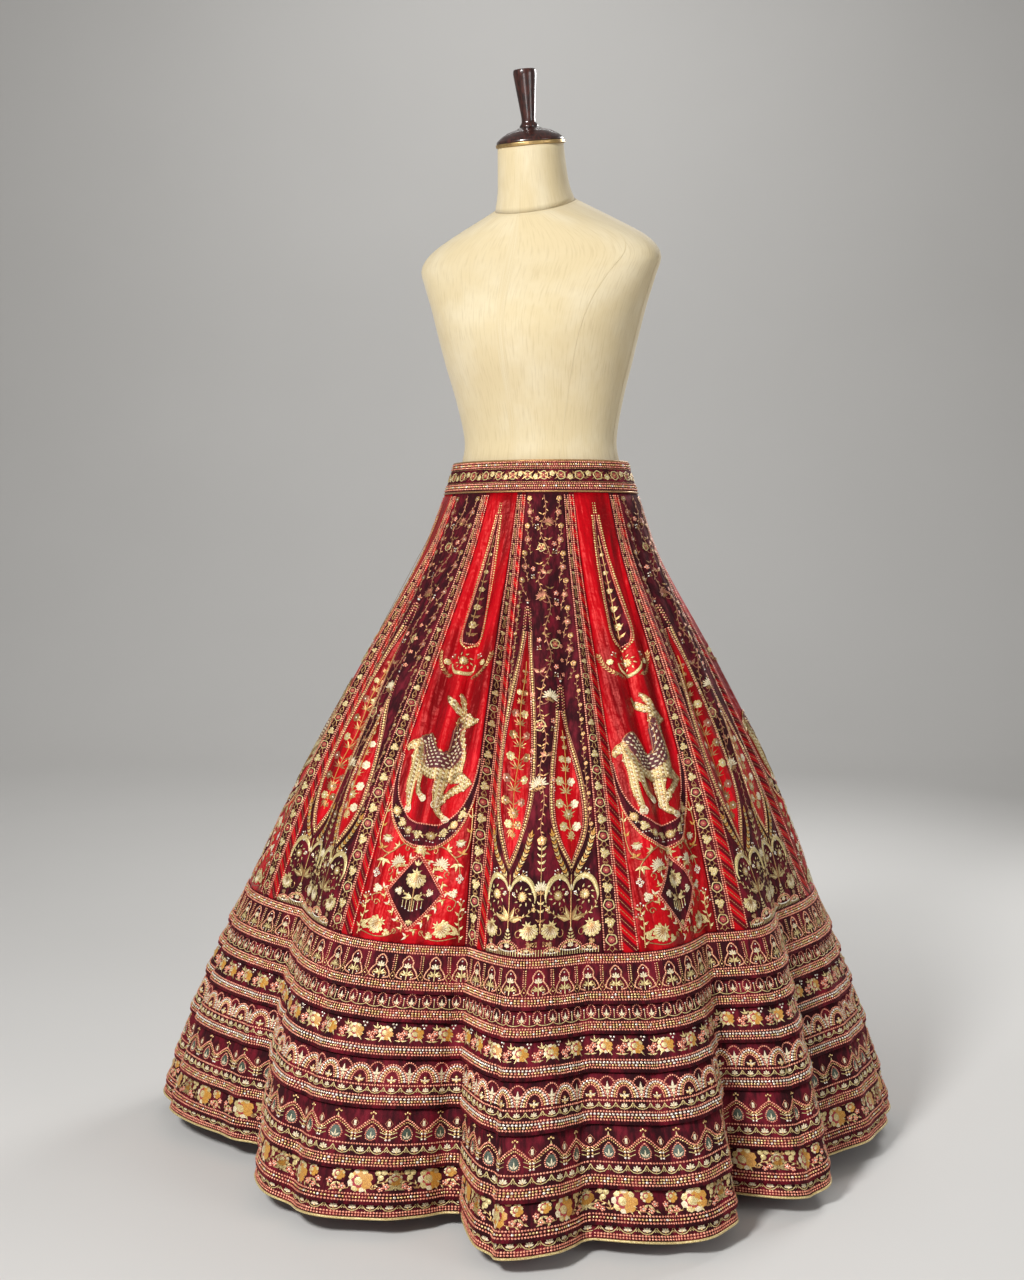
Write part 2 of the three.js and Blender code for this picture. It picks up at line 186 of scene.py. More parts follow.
# The dress form, in its own frame: height, half width, front, back, lean, tilt
FORM_TURN = -25
TORSO = np.array([
    (805, 152, 100, 110, 0, 0),
    (870, 164, 108, 120, 0, 0),
    (920, 158, 106, 114, 0, 0),
    (968, 142, 102, 104, 0, 0),
    (1016, 125, 92, 91, 0, 0),
    (1050, 120, 88, 87, 0, 0),
    (1110, 131, 101, 90, -2, 0),
    (1165, 146, 120, 95, -3, 0),
    (1210, 158, 128, 99, -4, 0),
    (1250, 170, 119, 103, -6, 1),
    (1290, 185, 100, 103, -8, 3),
    (1320, 194, 86, 97, -8, 5),
    (1345, 176, 76, 88, -10, 8),
    (1369, 134, 68, 78, -13, 12),
    (1389, 92, 62, 69, -16, 17),
    (1403, 61, 57, 59, -20, 21),
], float)
NECK = np.array([
    (1403.3, 60, 56, 58, -20, 21),
    (1425.3, 54, 52, 52, -25, 18),
    (1455.3, 51, 50, 50, -31, 15),
    (1488.3, 49, 48, 48, -36, 12),
], float)
FORM_SQUARENESS = 2.1


class LehengaSizes(PropertyGroup):
    """Sizes that a user would change."""

    crease_depth: FloatProperty(name="Crease depth", description="How deep the soft creases are, against the usual",
        default=1.7, min=0, max=2, subtype="FACTOR")
    tier_flare: FloatProperty(name="Tier flare",
        description="How far each tier's lower edge stands off the next tier", default=0.0045, min=0, max=0.008,
        unit="LENGTH")
    lining_gap: FloatProperty(name="Cloth thickness", description="From the cloth's face to its lining",
        default=0.0018, min=0.001, max=0.003, unit="LENGTH")


class LehengaColours(PropertyGroup):
    """Colours that a user would change."""

    velvet: FloatVectorProperty(name="Velvet", description="Velvet pile", size=3, subtype="COLOR",
        default=(0.026, 0.0005, 0.003), min=0, max=1)
    # A lighter wine where the pile lies over: partly the pile's own direction, partly painted sheen.
    velvet_light: FloatVectorProperty(name="Velvet painted sheen", description="Velvet lightened by painted sheen where the pile lies over", size=3,
        subtype="COLOR", default=(0.20, 0.002, 0.015), min=0, max=1)
    satin: FloatVectorProperty(name="Satin", description="Red satin", size=3, subtype="COLOR",
        default=(0.52, 0.0015, 0.007), min=0, max=1)
    gold: FloatVectorProperty(name="Gold thread", description="Metallic thread", size=3, subtype="COLOR",
        default=(0.60, 0.38, 0.14), min=0, max=1)
    linen: FloatVectorProperty(name="Linen", description="The dress form's cover", size=3, subtype="COLOR",
        default=(0.66, 0.54, 0.32), min=0, max=1)


# How the cloth hangs.


def eased(rows, x):
    """Every column of a table at x, on a smooth curve through its rows, which rise in their first."""
    knots, values = rows[:, 0], rows[:, 1:]
    slopes = np.empty_like(values)
    slopes[1:-1] = (values[2:] - values[:-2]) / (knots[2:] - knots[:-2])[:, None]
    slopes[0] = (values[1] - values[0]) / (knots[1] - knots[0])
    slopes[-1] = (values[-1] - values[-2]) / (knots[-1] - knots[-2])
    x = np.clip(np.asarray(x, float), knots[0], knots[-1])
    i = np.clip(np.searchsorted(knots, x, side="right") - 1, 0, len(knots) - 2)
    step = (knots[i + 1] - knots[i])[..., None]
    t = (x - knots[i])[..., None] / step
    return ((2 * t**3 - 3 * t**2 + 1) * values[i] + (t**3 - 2 * t**2 + t) * step * slopes[i] + (3 * t**2 - 2 * t**3)
        * values[i + 1] + (t**3 - t**2) * step * slopes[i + 1])


FOLD_ANGLES = np.array([angle for row in FOLDS for angle in (row[0], row[2])] + [FOLDS[0][0] + 360], float)
FOLD_REACHES = np.array([reach for row in FOLDS for reach in (row[1], row[3])] + [FOLDS[0][1]], float)


def hem_reach(degrees):
    """How far out the hem reaches at an angle, as a share of the plain oval."""
    turned = (degrees - FOLD_ANGLES[0]) % 360 + FOLD_ANGLES[0]
    i = np.clip(np.searchsorted(FOLD_ANGLES, turned, side="right") - 1, 0, len(FOLD_ANGLES) - 2)
    start, end = FOLD_REACHES[i], FOLD_REACHES[i + 1]
    along = (turned - FOLD_ANGLES[i]) / (FOLD_ANGLES[i + 1] - FOLD_ANGLES[i])
    away = np.where(start > end, along, 1 - along)
    high, low = np.maximum(start, end), np.minimum(start, end)
    return low + (high - low) * np.clip(0.5 + 0.5 * np.cos(np.pi * away), 0, 1) ** CREST_BREADTH


def ring_points(section, degrees, height, reach):
    """Points of the oval ring at a height, pushed out or drawn in by the folds."""
    across, deep, turn, drift, dip = (section[..., k] for k in range(5))
    along = (degrees - turn) * DEG
    radius = reach / np.hypot(np.sin(along) / across, np.cos(along) / deep)
    angle = degrees * DEG
    low = height - dip * np.maximum(0, np.cos(angle)) ** 2
    return np.stack([drift + radius * np.sin(angle), -radius * np.cos(angle), low + 0 * angle], -1)


def hem_track():
    """The hem's angle against the length of cloth from the middle of the front velvet gore."""
    degrees = HEM_AXIS + np.arange(1441) / 4
    section = eased(SECTIONS, np.full(degrees.shape, float(HEM)))
    points = ring_points(section, degrees, float(HEM), hem_reach(degrees))
    lengths = np.concatenate([[0], np.cumsum(np.linalg.norm(np.diff(points, axis=0), axis=1))])
    return degrees, lengths / lengths[-1]


HEM_DEGREES, HEM_SHARES = hem_track()


def around(height):
    """The plain length round the skirt at a height."""
    section = eased(SECTIONS, height)
    return np.pi * (section[..., 0] + section[..., 1])


def slant_table():
    """Heights from the waist down, and the length of cloth from the waistband's lower edge to each."""
    heights = np.linspace(WAIST_TOP, HEM, 600)
    section = eased(SECTIONS, heights)
    radius = (section[:, 0] + section[:, 1]) / 2
    lengths = np.concatenate([[0], np.cumsum(np.hypot(np.diff(heights), np.diff(radius)))])
    return heights, lengths - np.interp(-WAISTBAND_BOTTOM, -heights, lengths)


SLANT_HEIGHTS, SLANT_LENGTHS = slant_table()


def height_down(length):
    """The height that a length of cloth below the waistband reaches."""
    return np.interp(length, SLANT_LENGTHS, SLANT_HEIGHTS)


def length_down(height):
    """The length of cloth from the waistband's lower edge down to a height."""
    return np.interp(-np.asarray(height, float), -SLANT_HEIGHTS, SLANT_LENGTHS)


class Drape:
    """The skirt's outer face with its folds and creases, worked out once on a fine grid."""

    COLUMNS = 2304
    ROWS = 420

    def __init__(self, depth):
        share = np.linspace(-0.5, 0.5, self.COLUMNS + 1)[None, :]
        height = np.linspace(HEM, WAIST_TOP, self.ROWS + 1)[:, None]
        section = eased(SECTIONS, height + 0 * share)
        fold = section[..., 5]
        turns = np.floor(share)
        plain = FRONT_AXIS + share * 360
        folded = turns * 360 + np.interp(share - turns, HEM_SHARES, HEM_DEGREES)
        degrees = plain + (folded - plain) * fold
        reach = 1 + (hem_reach(folded) - 1) * fold
        points = ring_points(section, degrees, height, reach)
        points += self.normals(points) * self.creased(share * 360, height, depth)[..., None]
        self.points = points
        self.outward = self.normals(points)

    @staticmethod
    def creased(degrees, height, depth):
        total = np.zeros(np.broadcast(degrees, height).shape)
        for middle, top, foot, width, rise, lean in CREASES:
            down = np.clip((top - height) / (top - foot), 0, 1)
            aside = (degrees - middle - lean * down + 180) % 360 - 180
            spread = width * (0.55 + 0.45 * down)
            fade = np.sin(np.pi * np.clip(down, 0, 1)) ** 0.8 if foot > HEM else np.sin(np.pi / 2 * down)
            total += depth * rise * fade * np.exp(-((aside / spread) ** 2))
        return total

    @staticmethod
    def normals(points):
        ring = points[:, :-1]
        round_way = np.roll(ring, -1, 1) - np.roll(ring, 1, 1)
        up_way = np.gradient(points, axis=0)[:, :-1]
        normal = np.cross(round_way, up_way)
        normal /= np.linalg.norm(normal, axis=-1, keepdims=True)
        return np.concatenate([normal, normal[:, :1]], 1)

    def at(self, share, height, lift=0):
        """Points on the cloth, lifted off it by lift millimetres."""
        share, height = np.broadcast_arrays(np.asarray(share, float), np.asarray(height, float))
        u = (share + 0.5) % 1 * self.COLUMNS
        v = np.clip((height - HEM) / (WAIST_TOP - HEM), 0, 1) * self.ROWS
        i = np.minimum(u.astype(int), self.COLUMNS - 1)
        j = np.minimum(v.astype(int), self.ROWS - 1)
        a, b = (u - i)[..., None], (v - j)[..., None]

        def blend(grid):
            low = grid[j, i] * (1 - a) + grid[j, i + 1] * a
            high = grid[j + 1, i] * (1 - a) + grid[j + 1, i + 1] * a
            return low * (1 - b) + high * b

        points = blend(self.points) + blend(self.outward) * np.asarray(lift)[..., None]
        below = np.minimum(0, height - HEM)
        points[..., 2] += below
        return points


# Meshes and finishes.


def ride(piece, slot):
    bpy.context.scene.collection.objects.link(piece)
    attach(piece, "root")
    return piece


def make_mesh(name, points, faces, finishes, slot, picks=None, cut=None, smooth=True):
    """A piece from points in millimetres and faces of equal size. cut holds each point's place on the flat cloth."""
    faces = np.asarray(faces, np.int32)
    mesh = bpy.data.meshes.new(name)
    mesh.vertices.add(len(points))
    mesh.vertices.foreach_set("co", (np.asarray(points) / 1000).astype(np.float32).ravel())
    mesh.loops.add(faces.size)
    mesh.loops.foreach_set("vertex_index", faces.ravel())
    mesh.polygons.add(len(faces))
    mesh.polygons.foreach_set("loop_start", np.arange(0, faces.size, faces.shape[1], dtype=np.int32))
    if picks is not None:
        mesh.polygons.foreach_set("material_index", np.asarray(picks, np.int32))
    mesh.polygons.foreach_set("use_smooth", np.full(len(faces), smooth))
    mesh.update(calc_edges=True)
    if cut is not None:
        layer = mesh.uv_layers.new(name="Cut")
        layer.uv.foreach_set("vector", (np.asarray(cut) / 1000)[faces.ravel()].astype(np.float32).ravel())
    for finish in finishes:
        mesh.materials.append(finish_named(finish))
    mesh.validate()
    return ride(bpy.data.objects.new(name, mesh), slot)


def grid_faces(rows, columns, first=0, flip=False, closed=False):
    """Quads of a grid of points in rows; a closed grid joins its last column to its first."""
    r, c = np.meshgrid(np.arange(rows - 1), np.arange(columns if closed else columns - 1), indexing="ij")
    here, right = first + r * columns + c, first + r * columns + (c + 1) % columns
    quads = np.stack([here, here + columns, right + columns, right], -1).reshape(-1, 4)
    return quads[:, ::-1] if flip else quads


def halved(quads):
    return np.concatenate([quads[:, [0, 1, 2]], quads[:, [0, 2, 3]]])


def tube_faces(rings, sides, flip=False):
    """Triangles of a tube of rings, with its two flat ends."""
    last = (rings - 1) * sides
    ends = [(0, k, k + 1) for k in range(1, sides - 1)]
    ends += [(last, last + k + 1, last + k) for k in range(1, sides - 1)]
    if flip:
        ends = [(a, c, b) for a, b, c in ends]
    return np.concatenate([halved(grid_faces(rings, sides, closed=True, flip=flip)), ends])


def maths(operation, swapped=False):
    """A method of a wire that adds one Math node."""
    def method(*values):
        return values[0].finish.node("Math", dict(operation=operation), *(values[::-1] if swapped else values))
    return method


class Wire:
    """One output socket, with the arithmetic that a finish needs."""

    def __init__(self, finish, socket):
        self.finish, self.socket = finish, socket

    __add__ = __radd__ = maths("ADD")
    __mul__ = __rmul__ = maths("MULTIPLY")
    __sub__, __rsub__ = maths("SUBTRACT"), maths("SUBTRACT", swapped=True)
    __truediv__ = maths("DIVIDE")
    wave, fraction, size = maths("SINE"), maths("FRACT"), maths("ABSOLUTE")

    def step(self, low, high):
        """0 below low, 1 above high, and smooth between."""
        settings = dict(interpolation_type="SMOOTHSTEP", clamp=True)
        return self.finish.node("MapRange", settings, self, low, high, 0, 1)


class Finish:
    """A material in the making. Even values are set on the shader, and varying ones are fed to it."""

    def __init__(self, name, **even):
        self.material = bpy.data.materials.new(name)
        self.material.use_nodes = True
        self.tree = self.material.node_tree
        self.shader = self.tree.nodes["Principled BSDF"]
        for key, value in even.items():
            socket = self.shader.inputs[key.replace("_", " ")]
            socket.default_value = (*value, 1) if socket.type == "RGBA" else value

    def node(self, kind, settings=None, *values, out=0, **named):
        """Any node: its type, its settings, and the values or links of its sockets."""
        made = self.tree.nodes.new("ShaderNode" + kind)
        for key, value in (settings or {}).items():
            setattr(made, key, value)
        pairs = list(zip(made.inputs, values)) + [(made.inputs[k.replace("_", " ")], v) for k, v in named.items()]
        for socket, value in pairs:
            if isinstance(value, Wire):
                self.tree.links.new(value.socket, socket)
            elif socket.type == "RGBA" and len(value) == 3:
                socket.default_value = (*value, 1)
            elif value is not None:
                socket.default_value = value
        return Wire(self, made.outputs[out])

    def mix(self, share, first, second, blend="MIX"):
        """Two colours mixed."""
        made = self.tree.nodes.new("ShaderNodeMix")
        made.data_type, made.blend_type = "RGBA", blend
        for socket, value in ((made.inputs[0], share), (made.inputs[6], first), (made.inputs[7], second)):
            if isinstance(value, Wire):
                self.tree.links.new(value.socket, socket)
            else:
                socket.default_value = (*value, 1) if socket.type == "RGBA" else value
        return Wire(self, made.outputs[2])

    def cut(self):
        """A point's place on the flat cloth, in metres: across, and down."""
        place = self.node("UVMap", dict(uv_map="Cut"))
        across = self.node("SeparateXYZ", None, place)
        return place, across, Wire(self, across.socket.node.outputs[1])

    def place(self):
        return self.node("TexCoord", None, out=3)

    def noise(self, where, scale, detail=2, roughness=0.5):
        return self.node("TexNoise", dict(noise_dimensions="3D"), Vector=where, Scale=scale, Detail=detail,
            Roughness=roughness)

    def stretched(self, where, x, y, z):
        return self.node("Mapping", dict(vector_type="POINT"), where, Scale=(x, y, z))

    def bump(self, height, strength, distance):
        return self.node("Bump", None, Strength=strength, Distance=distance, Height=height)

    def feed(self, **links):
        for key, wire in links.items():
            self.tree.links.new(wire.socket, self.shader.inputs[key.replace("_", " ")])
        return self.material


def chosen(key):
    """One of the colours that a user may change."""
    return tuple(getattr(bpy.context.scene.lehenga_colours, key))


def velvet_finish(name="Maroon velvet", light=1):
    finish = Finish(name, Roughness=0.8, Sheen_Weight=0.14, Sheen_Roughness=0.3, Sheen_Tint=(0.9, 0.03, 0.06),
        Specular_IOR_Level=0.25)
    where, _, _ = finish.cut()
    pile_flow_and_sheen = finish.noise(finish.stretched(where, 1, 0.55, 1), 26, 4, 0.6)
    brushed_pile_and_sheen = finish.noise(finish.stretched(where, 1, 0.3, 1), 150, 3, 0.6)
    pile = finish.noise(where, 1700, 2, 0.6)
    # Lighter patches where the pile lies over: partly the pile's direction, partly painted sheen, scaled by light.
    share = (pile_flow_and_sheen * 0.62 + brushed_pile_and_sheen * 0.38).step(0.42, 0.66) * light
    colour = finish.mix(share, chosen("velvet"), chosen("velvet_light"))
    colour = finish.mix(pile.step(0.3, 0.75) * 0.35, colour, (0.02, 0.001, 0.004))
    return finish.feed(Base_Color=colour, Roughness=0.9 - share * 0.2,
        Normal=finish.bump(pile * 0.6 + brushed_pile_and_sheen * 0.8, 0.35, 0.0008))


def satin_colour(finish, where, base):
    """Satin's warp streaks, and a painted highlight of slow lighter patches, over a colour."""
    warp = finish.noise(finish.stretched(where, 1, 0.02, 1), 1500, 1, 0.5)
    slow_painted_highlight = finish.noise(where, 14, 2, 0.5)
    colour = finish.mix(warp.step(0.35, 0.75) * 0.2, base, (0.25, 0.001, 0.004))
    # Painted highlight: slow patches lightened toward a hot red.
    colour = finish.mix(slow_painted_highlight.step(0.45, 0.7) * 0.5, colour, (0.78, 0.006, 0.02))
    return warp, slow_painted_highlight, colour


def satin_finish():
    finish = Finish("Red satin", Specular_IOR_Level=0.55, Specular_Tint=(1, 0.2, 0.17))
    where, _, _ = finish.cut()
    warp, slow_painted_highlight, colour = satin_colour(finish, where, chosen("satin"))
    rumple_and_fold_shade = finish.noise(finish.stretched(where, 1, 0.14, 1), 34, 3, 0.55)
    pucker = finish.noise(where, 95, 2, 0.5)
    # Painted shade: dark red laid in the rumple's low places, the fold hollows.
    colour = finish.mix((1.0 - rumple_and_fold_shade.step(0.36, 0.58)) * 0.85, colour, (0.12, 0.001, 0.003))
    return finish.feed(Base_Color=colour, Roughness=0.26 + warp * 0.12 + slow_painted_highlight * 0.1,
        Normal=finish.bump(rumple_and_fold_shade + pucker * 0.2 + warp * 0.02, 0.9, 0.012))


def striped_finish():
    """Diagonal stripes, bright and dark by turns, that slope down to the right."""
    finish = Finish("Striped satin", Specular_IOR_Level=0.4, Specular_Tint=(1, 0.2, 0.16))
    where, across, down = finish.cut()
    warp, _, colour = satin_colour(finish, where, chosen("satin"))
    along = ((down - across * 1.05) / 0.025).fraction()
    dark = ((along - 0.5).size() * 2).step(0.46, 0.54)
    colour = finish.mix(dark, colour, (0.13, 0.002, 0.008))
    return finish.feed(Base_Color=colour, Roughness=0.34 + warp * 0.16 + dark * 0.12,
        Normal=finish.bump(dark * 0.5 + warp * 0.2, 0.3, 0.0006))


def lining_finish():
    finish = Finish("Cotton lining", Roughness=0.9, Sheen_Weight=0.15)
    where = finish.place()
    weave = finish.noise(where, 1400, 2)
    shade = finish.noise(where, 18, 3)
    colour = finish.mix(shade, (0.20, 0.010, 0.022), (0.30, 0.018, 0.034))
    colour = finish.mix(weave.step(0.4, 0.8) * 0.4, colour, (0.12, 0.006, 0.014))
    return finish.feed(Base_Color=colour, Normal=finish.bump(weave, 0.25, 0.0005))


def thread_finish(name, base, deep, metal, rough):
    """Embroidery thread, brighter and darker along its twist."""
    finish = Finish(name, Specular_IOR_Level=0.6, Sheen_Weight=0.1)
    where = finish.place()
    twist = finish.noise(where, 900, 2, 0.6)
    tone = finish.noise(where, 70, 2, 0.5)
    colour = finish.mix(twist.step(0.38, 0.66), deep, base)
    colour = finish.mix(tone.step(0.5, 0.8) * 0.3, colour, deep)
    return finish.feed(Base_Color=colour, Roughness=rough + twist * 0.2 - 0.1, Metallic=metal * (0.85 + twist * 0.15),
        Normal=finish.bump(twist, 0.5, 0.0005))


def bead_finish(name, base, other, rough, metal):
    finish = Finish(name, Specular_IOR_Level=0.7)
    where = finish.place()
    patch = finish.noise(where, 420, 1, 0.5)
    colour = finish.mix(patch.step(0.42, 0.6), base, other)
    return finish.feed(Base_Color=colour, Roughness=rough + patch * 0.14, Metallic=metal - patch * 0.1)


def linen_finish():
    finish = Finish("Linen cover", Roughness=0.86, Sheen_Weight=0.2, Sheen_Roughness=0.5)
    where, across, down = finish.cut()
    warp = (across * 5200).wave() * 0.5 + 0.5
    weft = (down * 5200).wave() * 0.5 + 0.5
    slub = finish.noise(finish.stretched(where, 1, 0.08, 1), 420, 2)
    stain = finish.noise(where, 9, 4, 0.6)
    colour = finish.mix(stain.step(0.38, 0.72), chosen("linen"), (0.72, 0.62, 0.42))
    colour = finish.mix(slub.step(0.45, 0.75) * 0.35, colour, (0.48, 0.37, 0.2))
    return finish.feed(Base_Color=colour, Roughness=0.92 - stain * 0.12,
        Normal=finish.bump(warp * weft + slub * 0.6, 0.2, 0.0005))


def wood_finish():
    finish = Finish("Dark polished wood", Coat_Weight=0.7, Coat_Roughness=0.07, Specular_IOR_Level=0.6)
    where = finish.place()
    grain = finish.noise(finish.stretched(where, 1, 1, 0.09), 260, 4, 0.6)
    worn = finish.noise(where, 40, 3)
    colour = finish.mix(grain.step(0.35, 0.7), (0.012, 0.004, 0.003), (0.075, 0.018, 0.012))
    colour = finish.mix(worn.step(0.62, 0.85) * 0.4, colour, (0.15, 0.05, 0.03))
    return finish.feed(Base_Color=colour, Roughness=0.22 + worn * 0.15, Normal=finish.bump(grain, 0.08, 0.0004))


def brass_finish():
    finish = Finish("Worn brass", Specular_IOR_Level=0.5)
    where = finish.place()
    tarnish = finish.noise(where, 60, 4, 0.65)
    colour = finish.mix(tarnish.step(0.45, 0.75), (0.66, 0.45, 0.19), (0.24, 0.13, 0.06))
    return finish.feed(Base_Color=colour, Roughness=0.24 + tarnish * 0.3, Metallic=1.0 - tarnish * 0.25,
        Normal=finish.bump(tarnish, 0.1, 0.0005))


def steel_finish():
    finish = Finish("Black enamelled steel", Coat_Weight=0.3, Coat_Roughness=0.2)
    where = finish.place()
    speckle = finish.noise(where, 700, 2)
    wear = finish.noise(where, 22, 4, 0.6)
    colour = finish.mix(wear.step(0.6, 0.85), (0.012, 0.012, 0.013), (0.06, 0.055, 0.05))
    return finish.feed(Base_Color=colour, Roughness=0.38 + wear * 0.2, Normal=finish.bump(speckle, 0.12, 0.0004))


# The name of each thread's finish, its colour, its shade, its share of metal and its roughness.
THREADS = {
    "gold": ("Gold thread", None, (0.30, 0.13, 0.05), 0.75, 0.36),
    "cream": ("Pale gold thread", (0.90, 0.76, 0.38), (0.44, 0.30, 0.09), 0.25, 0.38),
    "ivory": ("Ivory silk", (0.95, 0.88, 0.66), (0.60, 0.46, 0.24), 0.05, 0.42),
    "amber": ("Amber silk", (0.74, 0.38, 0.05), (0.44, 0.17, 0.012), 0.05, 0.45),
    "pink": ("Pink silk", (0.50, 0.025, 0.04), (0.26, 0.008, 0.015), 0, 0.6),
    "sage": ("Sage silk", (0.085, 0.115, 0.075), (0.03, 0.045, 0.03), 0.1, 0.5),
    "copper": ("Copper thread", (0.56, 0.23, 0.13), (0.26, 0.07, 0.035), 0.5, 0.4),
    "plum": ("Plum silk", (0.15, 0.004, 0.012), (0.06, 0.001, 0.004), 0, 0.6),
}
# The name of each bead's finish, its colour, its other colour, its roughness and its share of metal.
BEADS = {
    "rose": ("Rose gold beads", (1, 0.42, 0.27), (0.55, 0.15, 0.09), 0.24, 0.35),
    "gilt": ("Gold beads", (1, 0.72, 0.32), (0.60, 0.32, 0.10), 0.2, 0.45),
    "silver": ("Silver beads", (1, 0.95, 0.84), (0.72, 0.56, 0.40), 0.14, 0.35),
}
GROUNDS = {
    "velvet": velvet_finish,
    "strip velvet": lambda: velvet_finish("Strip velvet", 0.7),
    "satin": satin_finish,
    "striped": striped_finish,
    "lining": lining_finish,
    "linen": linen_finish,
    "wood": wood_finish,
    "brass": brass_finish,
    "steel": steel_finish,
}
FINISHES = {}


def finish_named(name):
    """Each finish is made once, when it is first needed."""
    if name not in FINISHES:
        if name in THREADS:
            title, colour, *look = THREADS[name]
            FINISHES[name] = thread_finish(title, colour or chosen("gold"), *look)
        else:
            FINISHES[name] = bead_finish(*BEADS[name]) if name in BEADS else GROUNDS[name]()
    return FINISHES[name]


# Needlework, worked flat in millimetres: x to the right, y down, lift off the cloth.

MIXED = ("gilt", "rose", "gilt", "silver", "gilt", "rose", "gilt")


def crowned(outline, crown, height=1):
    """A unit shape: an outline on the cloth and a raised point inside it."""
    outline = np.asarray(outline, float)
    n = len(outline)
    points = np.zeros((n + 1, 3))
    points[:n, :2] = outline
    points[n] = (*crown, height)
    return points, np.array([(i, n, (i + 1) % n) for i in range(n)])


BEAD = crowned([(0.5 * math.cos(k * math.pi * 0.4), 0.5 * math.sin(k * math.pi * 0.4)) for k in range(5)], (0, 0))
LEAF = crowned([(0, 0), (0.34, 0.5), (1, 0), (0.34, -0.5)], (0.4, 0))
PETAL = crowned([(0, 0), (0.66, 0.48), (0.97, 0.24), (0.97, -0.24), (0.66, -0.48)], (0.7, 0))
DISC = crowned([(0.5 * math.cos(k * math.pi / 4), 0.5 * math.sin(k * math.pi / 4)) for k in range(8)], (0, 0))
DASH = crowned([(0, 0.42), (1, 0.42), (1, -0.42), (0, -0.42)], (0.5, 0))


def away(x, y, reach, turn):
    """The place at a reach from another, at an angle in degrees."""
    return x + reach * np.cos(turn * DEG), y + reach * np.sin(turn * DEG)


def arc(x, y, radius, start, end, count=10, squash=1):
    """Points of an arc. Angles are in degrees, 0 to the right and -90 up."""
    angle = np.linspace(start, end, count) * DEG
    return np.stack([x + radius * np.cos(angle), y + radius * squash * np.sin(angle)], -1)


def curve(*knots, count=8):
    """A smooth line through knots."""
    knots = np.asarray(knots, float)
    table = np.column_stack([np.arange(len(knots)), knots])
    return eased(table, np.linspace(0, len(knots) - 1, count * (len(knots) - 1) + 1))


def spiral(x, y, radius, start, turns, count=14, shrink=0.25):
    """A scroll that winds inwards; turns is negative the other way."""
    t = np.linspace(0, 1, count)
    return np.stack(away(x, y, radius * (1 - (1 - shrink) * t), start + 360 * turns * t), -1)


def spaced(path, pitch, start=0):
    """Places along a path at an even pitch, and the path's direction at each."""
    path = np.asarray(path, float)
    lengths = np.concatenate([[0], np.cumsum(np.linalg.norm(np.diff(path, axis=0), axis=1))])
    usable = lengths[-1] - start
    count = max(1, int(round(usable / pitch)))
    at = start + (np.arange(count) + 0.5) * usable / count
    x, y = np.interp(at, lengths, path[:, 0]), np.interp(at, lengths, path[:, 1])
    step = usable / count / 2
    dx = np.interp(at + step, lengths, path[:, 0]) - np.interp(at - step, lengths, path[:, 0])
    dy = np.interp(at + step, lengths, path[:, 1]) - np.interp(at - step, lengths, path[:, 1])
    return x, y, np.degrees(np.arctan2(dy, dx))


